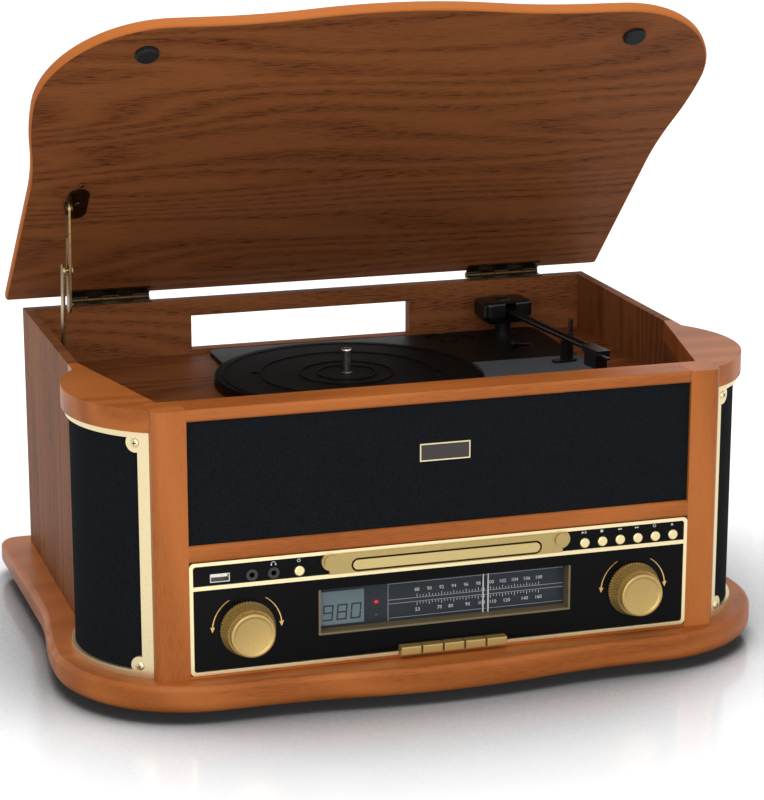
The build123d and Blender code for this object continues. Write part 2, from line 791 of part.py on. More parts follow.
pointer_bottom = display_bottom + display_wall + seat_gap
pointer_bridge = display_top + fit_gap
pointer_top = pointer_bridge + pointer_wire
pointer_half = (pointer_spacing + pointer_wire) / 2
with BuildPart() as dial_pointer:
    with BuildSketch(front_plane(dial_y - pointer_gap)):
        for side in (-1, 1):
            with Locations((pointer_x + side * pointer_spacing / 2, (pointer_bottom + pointer_top) / 2)):
                Rectangle(pointer_wire, pointer_top - pointer_bottom)
    extrude(amount=pointer_wire)
    with BuildSketch(front_plane(dial_y - pointer_gap - pointer_wire)):
        with Locations((pointer_x, (pointer_bridge + pointer_top) / 2)):
            Rectangle(2 * pointer_half, pointer_wire)
    extrude(amount=-(pointer_gap + pointer_wire + dial_plate_thickness + 2 * chassis_wall))
    with BuildSketch(front_plane(dial_y + dial_plate_thickness + pointer_gap)):
        with Locations((pointer_x, pointer_top - 2 * pointer_spacing)):
            Rectangle(2 * pointer_spacing, 4 * pointer_spacing)
    extrude(amount=-(2 * chassis_wall - pointer_gap))
save(dial_pointer, "dial_pointer")

# Knobs: serrated skirt, cone, cap with a raised lip, and a shaft through the panel
skirt_y = panel_set_back - knob_clearance
for label, x in (("volume_knob", -knob_x), ("tuning_knob", knob_x)):
    with BuildPart() as knob:
        with BuildSketch(front_plane(skirt_y)):
            with BuildLine():
                teeth = [
                    (x + r * cos(2 * pi * (i + share) / knob_teeth),
                     knob_height + r * sin(2 * pi * (i + share) / knob_teeth))
                    for i in range(knob_teeth)
                    for r, share in ((knob_skirt_radius, 0), (knob_root_radius, 0.5))
                ]
                Polyline(*teeth, close=True)
            make_face()
        extrude(amount=knob_skirt_thickness)
        with BuildSketch(front_plane(skirt_y - knob_skirt_thickness)):
            with Locations((x, knob_height)):
                Circle(knob_root_radius)
        with BuildSketch(front_plane(skirt_y - knob_skirt_thickness - knob_cone_length)):
            with Locations((x, knob_height)):
                Circle(knob_cap_radius)
        loft()
        with BuildSketch(front_plane(skirt_y - knob_skirt_thickness - knob_cone_length)):
            with Locations((x, knob_height)):
                Circle(knob_cap_radius)
        extrude(amount=knob_length - knob_skirt_thickness - knob_cone_length)
        with BuildSketch(front_plane(skirt_y - knob_length)):
            with Locations((x, knob_height)):
                Circle(knob_cap_radius - knob_lip)
        extrude(amount=-knob_dish, mode=Mode.SUBTRACT)
        with BuildSketch(front_plane(skirt_y)):
            with Locations((x, knob_height)):
                Circle(shaft_radius)
        extrude(amount=-shaft_length)
    save(knob, label)

# Round push buttons: a dome in front, a flange behind the panel
button_names = ["play_button", "stop_button", "next_button", "previous_button",
                "repeat_button", "eject_button", "record_button"]
for label, x in zip(button_names, button_xs):
    with BuildPart() as button:
        with BuildSketch(front_plane(panel_set_back + button_depth)):
            with Locations((x, row_z)):
                Circle(button_radius)
        extrude(amount=button_depth + button_proud)
        dome_edge = button.faces().sort_by(Axis.Y)[0].edges()
        fillet(dome_edge, radius=button_dome)
        with BuildSketch(front_plane(panel_set_back + panel_thickness + fit_gap)):
            with Locations((x, row_z)):
                Circle(button_flange)
        extrude(amount=-button_flange_thickness)
    save(button, label)

# Selector keys: five blocks that slide in through the notch at the foot of the panel
key_names = ["tuner_key", "disc_key", "tape_key", "phono_key", "tone_key"]
for label, x in zip(key_names, key_xs):
    with BuildPart() as key:
        with BuildSketch(front_plane(panel_set_back - key_proud)):
            with Locations((x, key_z + key_height / 2)):
                Rectangle(key_width, key_height)
        extrude(amount=-(key_proud + panel_thickness + key_depth))
        fillet(key.faces().sort_by(Axis.Y)[0].edges(), radius=key_round)
    save(key, label)

# Sockets on the panel: one flat socket and two round 3.5 mm jacks
with BuildPart() as input_sockets:
    with BuildSketch(front_plane(panel_set_back)):
        with Locations((usb_x, row_z)):
            Rectangle(usb_width, usb_height)
            Rectangle(usb_width - 2 * usb_shell, usb_height - 2 * usb_shell, mode=Mode.SUBTRACT)
    extrude(amount=-usb_depth)
    with BuildSketch(front_plane(panel_set_back + usb_depth)):
        with Locations((usb_x, row_z)):
            Rectangle(usb_width, usb_height)
    extrude(amount=-usb_shell)
    with BuildSketch(front_plane(panel_set_back + usb_depth)):
        with Locations((usb_x, row_z + usb_tongue / 2)):
            Rectangle(usb_width - 4 * usb_shell, usb_tongue)
    extrude(amount=usb_depth - usb_tongue)
    for x in jack_xs:
        with BuildSketch(front_plane(panel_set_back)):
            with Locations((x, row_z)):
                Circle(jack_nut_radius)
                Circle(jack_bore_radius, mode=Mode.SUBTRACT)
        extrude(amount=jack_nut_height)
        with BuildSketch(front_plane(panel_set_back)):
            with Locations((x, row_z)):
                Circle(jack_body_radius)
                Circle(jack_bore_radius, mode=Mode.SUBTRACT)
        extrude(amount=-jack_length)
save(input_sockets, "input_sockets")

# Inside: circuit board on standoffs, transformer, and the two controls behind the knobs
pot_y = panel_set_back + panel_thickness
board_z = base_z + standoff_height
board_y = front_y + frame_depth + 2 * board_depth / 3
with BuildPart() as electronics:
    with BuildSketch(Plane.XY.offset(board_z)):
        with Locations((0, board_y)):
            Rectangle(board_width, board_depth)
    extrude(amount=board_thickness)
    with BuildSketch(Plane.XY.offset(base_z)):
        with Locations((0, board_y)):
            with GridLocations(board_width - 4 * standoff_radius, board_depth - 4 * standoff_radius, 2, 2):
                Circle(standoff_radius)
    extrude(amount=standoff_height)
    with BuildSketch(Plane.XY.offset(board_z + board_thickness)):
        with Locations((0, board_y)):
            with GridLocations(3 * capacitor_radius, 1, 3, 1):
                Circle(capacitor_radius)
    extrude(amount=capacitor_height)
    with BuildSketch(Plane.XY.offset(base_z)):
        with Locations((board_width / 2 + transformer_width / 2 + wall, board_y)):
            Rectangle(transformer_width, transformer_depth)
    extrude(amount=transformer_height)
    for x in (-knob_x, knob_x):
        with BuildSketch(front_plane(pot_y)):
            with Locations((x, knob_height)):
                Circle(bushing_radius)
                Circle(shaft_radius + shaft_clearance, mode=Mode.SUBTRACT)
        extrude(amount=-bushing_length)
        with BuildSketch(front_plane(pot_y + bushing_length)):
            with Locations((x, knob_height)):
                Circle(pot_radius)
                Circle(shaft_radius + shaft_clearance, mode=Mode.SUBTRACT)
        extrude(amount=-pot_length)
save(electronics, "electronics")

# Rear connection panel: plate over the service opening, phono sockets and mains inlet
rear_z = base_z + rear_panel_rise + rear_panel_height / 2
phono_xs = [-rear_panel_width / 3 + i * phono_pitch for i in range(2)]
with BuildPart() as rear_panel:
    with BuildSketch(back_plane):
        with Locations((0, rear_z)):
            RectangleRounded(rear_panel_width, rear_panel_height, rear_panel_lip)
        with Locations((rear_panel_width / 3, rear_z)):
            Rectangle(inlet_width, inlet_height, mode=Mode.SUBTRACT)
    extrude(amount=rear_panel_thickness)
    with BuildSketch(back_plane):
        with Locations((rear_panel_width / 3, rear_z)):
            Rectangle(inlet_width + 2 * chassis_wall, inlet_height + 2 * chassis_wall)
            Rectangle(inlet_width, inlet_height, mode=Mode.SUBTRACT)
    extrude(amount=-back_wall)
    with BuildSketch(back_plane.offset(-back_wall)):
        with Locations((rear_panel_width / 3, rear_z)):
            Rectangle(inlet_width, inlet_height)
    extrude(amount=inlet_floor)
    with BuildSketch(back_plane.offset(inlet_floor - back_wall)):
        with Locations((rear_panel_width / 3, rear_z)):
            with GridLocations(inlet_pin_pitch, 1, 2, 1):
                Circle(inlet_pin_radius)
    extrude(amount=inlet_pin_length)
    with BuildSketch(back_plane.offset(rear_panel_thickness)):
        for x in phono_xs:
            for z in (rear_z - phono_pitch / 2, rear_z + phono_pitch / 2):
                with Locations((x, z)):
                    Circle(phono_radius)
    extrude(amount=phono_length)
    with BuildSketch(back_plane.offset(rear_panel_thickness + phono_length)):
        for x in phono_xs:
            for z in (rear_z - phono_pitch / 2, rear_z + phono_pitch / 2):
                with Locations((x, z)):
                    Circle(phono_bore)
    extrude(amount=-phono_length, mode=Mode.SUBTRACT)
save(rear_panel, "rear_panel")

# Turntable chassis: a flanged plate dropped into the deck board, with the platter well
chassis_front_y = front_y + chassis_front
chassis_back_y = front_y + chassis_back
chassis_centre = ((chassis_left + chassis_right) / 2, (chassis_front_y + chassis_back_y) / 2)
tub_centre = ((tub_left + tub_right) / 2, (tub_front + tub_back) / 2)
tub_width = tub_right - tub_left - 2 * fit_gap
tub_depth = tub_back - tub_front - 2 * fit_gap
motor_orbit = drive_ring_radius - drive_ring_width - pulley_radius - pulley_gap
motor_xy = (platter_x + motor_orbit * cos(radians(motor_angle)),
            platter_y + motor_orbit * sin(radians(motor_angle)))
with BuildPart() as deck_chassis:
    with BuildSketch(Plane.XY.offset(deck_z)):
        with Locations(chassis_centre):
            RectangleRounded(chassis_right - chassis_left, chassis_back_y - chassis_front_y, chassis_corner)
    extrude(amount=chassis_height)
    chassis_rim = deck_chassis.faces().sort_by(Axis.Z)[-1].edges()
    fillet(chassis_rim, radius=chassis_height / 4)
    with BuildSketch(Plane.XY.offset(deck_z - chassis_tub_depth)):
        with Locations(tub_centre):
            Rectangle(tub_width, tub_depth)
            Rectangle(tub_width - 2 * chassis_wall, tub_depth - 2 * chassis_wall, mode=Mode.SUBTRACT)
    extrude(amount=chassis_tub_depth)
    with BuildSketch(Plane.XY.offset(deck_z + well_floor)):
        with Locations((platter_x, platter_y)):
            Circle(platter_radius + well_clearance)
            Circle(platter_hub_radius, mode=Mode.SUBTRACT)
    extrude(amount=chassis_height, mode=Mode.SUBTRACT)
    with BuildSketch(Plane.XY.offset(chassis_z - adapter_depth)):
        with Locations((adapter_x, front_y + adapter_back)):
            Circle(adapter_radius)
            Circle(adapter_radius / 3, mode=Mode.SUBTRACT)
    extrude(amount=adapter_depth, mode=Mode.SUBTRACT)
    with BuildSketch(Plane.XY.offset(deck_z)):
        with Locations(motor_xy):
            Circle(shaft_radius)
    extrude(amount=chassis_height, mode=Mode.SUBTRACT)
save(deck_chassis, "deck_chassis")

control_plate_y = front_y + control_plate_back
control_plate_front = chassis_front_y + control_plate_margin
control_plate_right = chassis_right - control_plate_margin
with BuildPart() as control_plate:
    with BuildSketch(Plane.XY.offset(chassis_z)):
        with Locations(((control_plate_left + control_plate_right) / 2,
                        (control_plate_front + control_plate_y) / 2)):
            Rectangle(control_plate_right - control_plate_left, control_plate_y - control_plate_front)
        with Locations((platter_x, platter_y)):
            Circle(platter_radius + 2 * well_clearance, mode=Mode.SUBTRACT)
    extrude(amount=control_plate_height)
save(control_plate, "control_plate")

with BuildPart() as drive_motor:
    with BuildSketch(Plane.XY.offset(deck_z)):
        with Locations(motor_xy):
            Circle(motor_radius)
    extrude(amount=-motor_height)
save(drive_motor, "drive_motor")

pulley_z = deck_z + well_floor + seat_gap
with BuildPart() as motor_pulley:
    with BuildSketch(Plane.XY.offset(pulley_z)):
        with Locations(motor_xy):
            Circle(pulley_radius)
    extrude(amount=pulley_height)
    groove = motor_pulley.faces().sort_by(Axis.Z)
    chamfer(groove[-1].edges() + groove[0].edges(), length=pulley_height / 4)
save(motor_pulley, "motor_pulley")

# Spindle: a thicker root for the platter to turn on, and a free end for the record
mat_z = platter_z - platter_mat_thickness
with BuildPart() as spindle:
    with BuildSketch(Plane.XY.offset(chassis_z)):
        with Locations((platter_x, platter_y)):
            Circle(spindle_root_radius)
    extrude(amount=platter_z + spindle_running - chassis_z)
    with BuildSketch(Plane.XY.offset(platter_z + spindle_running)):
        with Locations((platter_x, platter_y)):
            Circle(spindle_radius)
    extrude(amount=spindle_height - spindle_running)
    fillet(spindle.faces().sort_by(Axis.Z)[-1].edges(), radius=spindle_radius / 2)
save(spindle, "spindle")

# Platter: plate with a deep rim, a hub on the spindle and a drive ring underneath
rim_bottom_z = mat_z - platter_rim_height
platter_bore = spindle_root_radius + spindle_running
access_across = access_hole_orbit * cos(radians(access_hole_angle))
access_back = access_hole_orbit * sin(radians(access_hole_angle))
access_holes = [(platter_x + way * access_across, platter_y + way * access_back) for way in (-1, 1)]
with BuildPart() as platter:
    with BuildSketch(Plane.XY.offset(mat_z - platter_plate_thickness)):
        with Locations((platter_x, platter_y)):
            Circle(platter_radius)
    extrude(amount=platter_plate_thickness)
    with BuildSketch(Plane.XY.offset(rim_bottom_z)):
        with Locations((platter_x, platter_y)):
            Circle(platter_radius)
            Circle(platter_radius - platter_rim_width, mode=Mode.SUBTRACT)
    extrude(amount=platter_rim_height)
    with BuildSketch(Plane.XY.offset(rim_bottom_z)):
        with Locations((platter_x, platter_y)):
            Circle(drive_ring_radius)
            Circle(drive_ring_radius - drive_ring_width, mode=Mode.SUBTRACT)
    extrude(amount=platter_rim_height)
    with BuildSketch(Plane.XY.offset(chassis_z + fit_gap)):
        with Locations((platter_x, platter_y)):
            Circle(platter_hub_radius)
    extrude(amount=mat_z - chassis_z - fit_gap)
    with BuildSketch(Plane.XY.offset(mat_z)):
        with Locations((platter_x, platter_y)):
            Circle(platter_bore)
        with Locations(*access_holes):
            Circle(access_hole_radius)
    extrude(amount=-platter_rim_height, mode=Mode.SUBTRACT)
save(platter, "platter")

with BuildPart() as platter_mat:
    with BuildSketch(Plane.XY.offset(mat_z)):
        with Locations((platter_x, platter_y)):
            Circle(platter_radius - chassis_wall / 2)
            Circle(platter_bore, mode=Mode.SUBTRACT)
        with Locations(*access_holes):
            Circle(access_hole_radius, mode=Mode.SUBTRACT)
    extrude(amount=platter_mat_thickness - mat_ring_height)
    for ring in mat_rings:
        with BuildSketch(Plane.XY.offset(platter_z - mat_ring_height)):
            with Locations((platter_x, platter_y)):
                Circle(ring)
                Circle(ring - mat_ring_width, mode=Mode.SUBTRACT)
        extrude(amount=mat_ring_height)
save(platter_mat, "platter_mat")

# Tonearm. Its own plane has X along the arm, seen from above, and the pivot as origin.
arm_turn = -90 + arm_angle
arm_base = Plane(origin=(arm_x, arm_y, chassis_z), z_dir=(0, 0, 1)).rotated((0, 0, arm_turn))
pillar_bore = trunnion_radius + trunnion_running
rest_top = arm_axis_height - arm_radius - seat_gap
with BuildPart() as arm_supports:
    with BuildSketch(arm_base):
        Circle(pillar_flange_radius)
    extrude(amount=pillar_flange_height)
    with BuildSketch(arm_base):
        Circle(pillar_radius)
    extrude(amount=pillar_height)
    with BuildSketch(arm_base.offset(pillar_height)):
        Circle(pillar_bore)
    extrude(amount=-pillar_height + pillar_flange_height, mode=Mode.SUBTRACT)
    with BuildSketch(arm_base.offset(control_plate_height)):
        with Locations((rest_along, 0)):
            SlotOverall(2 * rest_half_width, rest_depth, rotation=90)
    extrude(amount=rest_base_height)
    with BuildSketch(arm_base.offset(control_plate_height)):
        with Locations((rest_along, 0)):
            Rectangle(rest_post_width, 2 * arm_radius)
    extrude(amount=rest_top - control_plate_height)
    with BuildSketch(arm_base.offset(control_plate_height)):
        with Locations((rest_along, arm_radius + rest_post_width / 2 + seat_gap)):
            Rectangle(rest_depth / 2, rest_post_width)
    extrude(amount=rest_top + 2 * arm_radius - control_plate_height)
save(arm_supports, "arm_supports")


def across_arm(along, side, height):
    """A plane square to the arm's cross axis, at a point given along, beside and above."""
    return Plane(origin=arm_base.from_local_coords(Vector(along, side, height)),
                 x_dir=arm_base.x_dir, z_dir=arm_base.y_dir)


def along_arm(along, side, height):
    """A plane square to the arm tube, facing the headshell."""
    return Plane(origin=arm_base.from_local_coords(Vector(along, side, height)),
                 x_dir=arm_base.y_dir, z_dir=arm_base.x_dir)


# Pivot head: a tapered housing that turns on the pillar, with a yoke open to the arm
head_bottom = pillar_height + seat_gap
yoke_half = arm_radius + 2 * yoke_gap + yoke_margin
with BuildPart() as arm_head:
    with BuildSketch(arm_base.offset(head_bottom)):
        RectangleRounded(head_depth - head_taper, head_width - 2 * head_taper, head_taper)
    with BuildSketch(arm_base.offset(head_bottom + head_height / 3)):
        RectangleRounded(head_depth, head_width, head_taper)
    loft()
    with BuildSketch(arm_base.offset(head_bottom + head_height / 3)):
        RectangleRounded(head_depth, head_width, head_taper)
    extrude(amount=2 * head_height / 3)
    fillet(arm_head.faces().sort_by(Axis.Z)[-1].edges(), radius=head_taper / 2)
    with BuildSketch(arm_base.offset(head_bottom + pillar_flange_height)):
        with Locations((head_depth / 4, 0)):
            Rectangle(head_depth, 2 * yoke_half)
    extrude(amount=head_height, mode=Mode.SUBTRACT)
    with BuildSketch(arm_base.offset(head_bottom)):
        Circle(trunnion_radius)
    extrude(amount=-pillar_height + pillar_flange_height + seat_gap)
    with BuildSketch(across_arm(0, -yoke_half - chassis_wall, arm_axis_height)):
        Circle(trunnion_radius + trunnion_running)
    extrude(amount=2 * (yoke_half + chassis_wall), mode=Mode.SUBTRACT)
save(arm_head, "arm_head")

shell_start = arm_length - headshell_length / 2
counter_length = head_depth / 4 - yoke_margin
with BuildPart() as tonearm:
    with BuildSketch(along_arm(-counter_length, 0, arm_axis_height)):
        Circle(arm_radius)
    extrude(amount=shell_start + counter_length)
    with BuildSketch(across_arm(0, -yoke_half - chassis_wall + seat_gap, arm_axis_height)):
        Circle(trunnion_radius)
    extrude(amount=2 * (yoke_half + chassis_wall - seat_gap))
    with BuildSketch(across_arm(shell_start, -headshell_width / 2, arm_axis_height)):
        with Locations((headshell_length / 2, 0)):
            Rectangle(headshell_length, headshell_height)
    extrude(amount=headshell_width)
    with BuildSketch(along_arm(shell_start + headshell_length, 0, arm_axis_height)):
        with Locations((-headshell_width / 2 + headshell_height / 4, 0)):
            Rectangle(headshell_height / 2, headshell_height / 3)
    extrude(amount=lift_length)
save(tonearm, "tonearm")

cartridge_top = arm_axis_height - headshell_height / 2
with BuildPart() as cartridge:
    with BuildSketch(arm_base.offset(cartridge_top)):
        with Locations((shell_start + headshell_length / 2, 0)):
            Rectangle(cartridge_length, cartridge_width)
    extrude(amount=-cartridge_height)
    with BuildSketch(arm_base.offset(cartridge_top - cartridge_height)):
        with Locations((shell_start + headshell_length / 2 + cartridge_length / 4, 0)):
            Rectangle(cartridge_length / 3, cartridge_width / 3)
    extrude(amount=-stylus_drop)
save(cartridge, "cartridge")

# Clip on the arm rest: a blade that stands open on the outer post and folds over the arm
clip_side = arm_radius + rest_post_width / 2 + seat_gap
clip_root = rest_top + 2 * arm_radius + seat_gap
with BuildPart() as arm_clip:
    with BuildSketch(along_arm(rest_along - rest_depth / 4, 0, 0)):
        with Locations((clip_side, clip_root + clip_pivot_radius)):
            Circle(clip_pivot_radius)
        with Locations((clip_side, clip_root + clip_pivot_radius + clip_length / 2)):
            Rectangle(clip_thickness, clip_length)
    extrude(amount=rest_depth / 2)
save(arm_clip, "arm_clip")

# Cue lever: a barrel across the arm, and a rod that rises towards the front
cue_base = along_arm(cue_along, cue_side, cue_height)
cue_way = cue_base.z_dir * cos(radians(cue_rise)) + Vector(0, 0, sin(radians(cue_rise)))
with BuildPart() as cue_lever:
    with BuildSketch(across_arm(cue_along, cue_side - cue_barrel_length / 2, cue_height)):
        Circle(cue_barrel_radius)
    extrude(amount=cue_barrel_length)
    with BuildSketch(Plane(origin=cue_base.origin, x_dir=cue_base.x_dir, z_dir=cue_way)):
        Circle(cue_radius)
    extrude(amount=cue_length)
save(cue_lever, "cue_lever")

# Speed selector: a small tab in a slot of the control plate
with BuildPart() as speed_lever:
    with BuildSketch(Plane.XY.offset(chassis_z + control_plate_height + seat_gap)):
        with Locations((speed_x, front_y + speed_back)):
            RectangleRounded(4 * arm_radius, 2 * arm_radius, arm_radius / 2)
    extrude(amount=arm_radius)
save(speed_lever, "speed_lever")

# Lid, bumpers and hinges, drawn along the open lid
lid_under = lid_gap / 2
with BuildPart() as lid:
    lid_plan = wavy_outline(lid_plane(lid_under), hinge_y, 0, back_y, lid_top_round / 2)
    extrude(lid_plan, amount=lid_thickness)
    lid_normal = Axis((0, 0, 0), lid_plane(0).z_dir)
    fillet(lid.faces().sort_by(lid_normal)[-1].edges(), radius=lid_top_round)
    fillet(lid.faces().sort_by(lid_normal)[0].edges(), radius=lid_bottom_round)
save(lid, "lid")

bumper_height = lid_gap - seat_gap
bumper_along = front_y + bumper_back - hinge_y
with BuildPart() as lid_bumpers:
    with BuildSketch(lid_plane(lid_under)):
        with Locations((-bumper_x, bumper_along), (bumper_x, bumper_along)):
            Circle(bumper_radius)
    extrude(amount=-bumper_height)
    bumper_faces = lid_bumpers.faces().sort_by(lid_normal)
    chamfer(bumper_faces[0].edges() + bumper_faces[1].edges(), length=bumper_height / 3)
save(lid_bumpers, "lid_bumpers")

knuckle_length = hinge_length / hinge_knuckles
leaf_along = -hinge_leaf_width / 2 - hinge_knuckle_radius - seat_gap
leaf_middle = lid_under - hinge_leaf_thickness / 2
hinge_starts = [x - hinge_length / 2 for x in (-hinge_x, hinge_x)]
level_plane = Plane(origin=(0, hinge_y, hinge_z), x_dir=(1, 0, 0), z_dir=(0, 0, 1))
for label, leaf_plane, side, numbers in (
    ("hinge_lid_leaves", lid_plane(0), 1, range(1, hinge_knuckles, 2)),
    ("hinge_box_leaves", level_plane, -1, range(0, hinge_knuckles, 2)),
):
    with BuildPart() as leaves:
        for start in hinge_starts:
            with BuildSketch(leaf_plane.offset(side * (lid_under - hinge_leaf_thickness))):
                with Locations((start + hinge_length / 2, leaf_along)):
                    Rectangle(hinge_length - knuckle_gap, hinge_leaf_width)
            extrude(amount=side * hinge_leaf_thickness)
            for number in numbers:
                low = start + number * knuckle_length + knuckle_gap / 2
                across = Plane(origin=(low, hinge_y, hinge_z), x_dir=leaf_plane.y_dir, z_dir=(1, 0, 0))
                with BuildSketch(across):
                    Circle(hinge_knuckle_radius)
                    with Locations((-hinge_knuckle_radius, side * leaf_middle)):
                        Rectangle(2 * hinge_knuckle_radius, hinge_leaf_thickness)
                    Circle(hinge_bore_radius, mode=Mode.SUBTRACT)
                extrude(amount=knuckle_length - knuckle_gap)
            if side < 0:
                with BuildSketch(Plane(origin=(start, hinge_y, hinge_z), x_dir=(0, 1, 0), z_dir=(1, 0, 0))):
                    Circle(hinge_pin_radius)
                extrude(amount=hinge_length)
    save(leaves, label)

# Lid stay on the left side: a slotted upper link on the lid and a lower link on the wall.
# The lower link's pin runs in the slot of the upper link.
upper_link_x = upper_link_inset - inner_half
lower_link_x = lower_link_inset - inner_half
stay_lid = Vector(hinge_y - stay_lid_reach, hinge_z + stay_lid_rise)
stay_pin = Vector(hinge_y - stay_pin_reach, hinge_z + stay_pin_rise)
stay_wall = Vector(hinge_y - stay_wall_reach, hinge_z - stay_wall_drop)
upper_way = (stay_pin - stay_lid).normalized().rotate(Axis.Z, slot_turn)
lower_way = stay_pin - stay_wall
upper_span = upper_link_length - upper_link_half_width
upper_turn = degrees(atan2(upper_way.Y, upper_way.X))
lower_turn = degrees(atan2(lower_way.Y, lower_way.X))


def side_plane(x):
    """A plane seen from the right, at this X. Its own axes are the frame's Y and Z."""
    return Plane(origin=(x, 0, 0), x_dir=(0, 1, 0), z_dir=(1, 0, 0))


upper_face_x = upper_link_x + link_thickness / 2
lower_face_x = lower_link_x + link_thickness / 2
pivot_bore = stay_pivot_radius + stay_pivot_running
with BuildPart() as stay_upper_link:
    with BuildSketch(side_plane(upper_face_x)):
        with Locations(stay_lid + upper_way * (upper_span / 2)):
            SlotCenterToCenter(upper_span, 2 * upper_link_half_width, rotation=upper_turn)
        with Locations(stay_lid + upper_way * ((slot_start + slot_end) / 2)):
            SlotCenterToCenter(slot_end - slot_start, 2 * slot_half_width, rotation=upper_turn,
                               mode=Mode.SUBTRACT)
        with Locations(stay_lid):
            Circle(pivot_bore, mode=Mode.SUBTRACT)
    extrude(amount=-link_thickness)
save(stay_upper_link, "stay_upper_link")

with BuildPart() as stay_lower_link:
    with BuildSketch(side_plane(lower_face_x)):
        with Locations((stay_wall + stay_pin) / 2):
            SlotCenterToCenter(lower_way.length, 2 * lower_link_half_width, rotation=lower_turn)
        with Locations(stay_wall):
            Circle(pivot_bore, mode=Mode.SUBTRACT)
    extrude(amount=-link_thickness)
    with BuildSketch(side_plane(lower_face_x)):
        with Locations(stay_pin):
            Circle(stay_pin_radius)
    extrude(amount=upper_face_x + seat_gap - lower_face_x)
    with BuildSketch(side_plane(upper_face_x + seat_gap)):
        with Locations(stay_pin):
            Circle(stay_head_radius)
    extrude(amount=stay_head_thickness)
save(stay_lower_link, "stay_lower_link")

# Wall bracket: a plate on the side wall with a headed pivot for the lower link
with BuildPart() as stay_box_bracket:
    with BuildSketch(side_plane(-inner_half)):
        with Locations(stay_wall):
            RectangleRounded(stay_wall_plate_width, stay_wall_plate_height, stay_head_radius)
    extrude(amount=stay_plate_thickness)
    with BuildSketch(side_plane(-inner_half + stay_plate_thickness)):
        with Locations(stay_wall):
            Circle(stay_pivot_radius)
    extrude(amount=lower_face_x + seat_gap + inner_half - stay_plate_thickness)
    with BuildSketch(side_plane(lower_face_x + seat_gap)):
        with Locations(stay_wall):
            Circle(stay_head_radius)
    extrude(amount=stay_head_thickness)
save(stay_box_bracket, "stay_box_bracket")

# Lid bracket: a leaf screwed under the lid, with a flange that carries the upper pivot
flange_x = upper_face_x + seat_gap
lid_side_plane = Plane(origin=(flange_x, hinge_y, hinge_z), x_dir=lid_plane(0).y_dir, z_dir=(1, 0, 0))
stay_local = lid_side_plane.to_local_coords(Vector(flange_x, stay_lid.X, stay_lid.Y))
leaf_centre = stay_local.X + stay_leaf_offset
with BuildPart() as stay_lid_bracket:
    with BuildSketch(lid_plane(lid_under)):
        with Locations((flange_x + stay_leaf_width / 2, leaf_centre)):
            SlotOverall(stay_leaf_length, stay_leaf_width, rotation=90)
    extrude(amount=-stay_plate_thickness)
    with BuildSketch(lid_side_plane):
        with Locations((stay_local.X, stay_local.Y)):
            Circle(stay_head_radius)
        with Locations((stay_local.X, (stay_local.Y + lid_under) / 2)):
            Rectangle(2 * stay_head_radius, lid_under - stay_local.Y)
    extrude(amount=stay_plate_thickness)
    with BuildSketch(lid_side_plane):
        with Locations((stay_local.X, stay_local.Y)):
            Circle(stay_pivot_radius)
    extrude(amount=-link_thickness - 2 * seat_gap)
    with BuildSketch(lid_side_plane.offset(-link_thickness - 2 * seat_gap)):
        with Locations((stay_local.X, stay_local.Y)):
            Circle(stay_head_radius)
    extrude(amount=-stay_head_thickness)
save(stay_lid_bracket, "stay_lid_bracket")
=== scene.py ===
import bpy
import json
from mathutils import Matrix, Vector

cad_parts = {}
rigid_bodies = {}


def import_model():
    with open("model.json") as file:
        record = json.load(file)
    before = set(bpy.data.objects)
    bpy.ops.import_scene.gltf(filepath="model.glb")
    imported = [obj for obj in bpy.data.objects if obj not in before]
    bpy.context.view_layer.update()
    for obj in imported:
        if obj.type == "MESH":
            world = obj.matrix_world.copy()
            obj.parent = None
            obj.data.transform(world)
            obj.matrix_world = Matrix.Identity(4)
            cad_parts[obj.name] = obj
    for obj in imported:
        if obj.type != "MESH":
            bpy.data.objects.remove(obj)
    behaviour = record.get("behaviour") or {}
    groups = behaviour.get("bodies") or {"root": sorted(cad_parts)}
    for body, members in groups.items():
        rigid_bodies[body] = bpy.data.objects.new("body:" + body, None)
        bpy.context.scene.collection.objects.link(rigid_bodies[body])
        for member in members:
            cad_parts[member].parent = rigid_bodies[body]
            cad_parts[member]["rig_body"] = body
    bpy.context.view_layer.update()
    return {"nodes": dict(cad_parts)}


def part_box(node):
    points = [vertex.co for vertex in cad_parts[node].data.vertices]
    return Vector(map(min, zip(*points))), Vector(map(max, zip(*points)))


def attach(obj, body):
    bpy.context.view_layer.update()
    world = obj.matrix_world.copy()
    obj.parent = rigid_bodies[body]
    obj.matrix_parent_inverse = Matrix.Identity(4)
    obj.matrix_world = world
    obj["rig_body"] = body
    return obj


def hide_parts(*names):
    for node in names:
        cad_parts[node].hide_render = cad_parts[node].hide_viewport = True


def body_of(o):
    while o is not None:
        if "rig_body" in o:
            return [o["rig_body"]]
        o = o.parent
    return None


bl_info = {
    "name": "Wooden Record Player",
    "version": (1, 0, 0),
    "blender": (4, 5, 0),
    "location": "View3D > Sidebar > Record Player",
    "description": "Finishes, printed marks and small fittings of a wooden record player",
    "category": "Object",
}

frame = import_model()

import json
import math
import bmesh
import bpy
from mathutils import Matrix, Vector

MM = 0.001
FULL_TURN = 2 * math.pi
UPRIGHT = (0, math.pi / 2, 0)
NODES = frame["nodes"]

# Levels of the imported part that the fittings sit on, in millimetres
FRONT = -160.0
PANEL = FRONT + 1.5
DIAL = PANEL + 9.0
LOBE_X = 157.0
LOBE_Y = -80.0
COLUMN_FRAME_RADIUS = 80.5
LID_OPEN = math.radians(43.3)
HINGE = Vector((0.0, 170.6, 210.7))
LID_UNDER = 2.1
KNOB_Z = 57.9
KNOB_X = 136.4
KNOB_LENGTH = 16.5
LEAF_WIDTH = 15.0
LEAF_REACH = 144.4
ARM_PIVOT = Vector((144.0, 130.0, 0.0))
ARM_TURN = math.radians(-83.35)
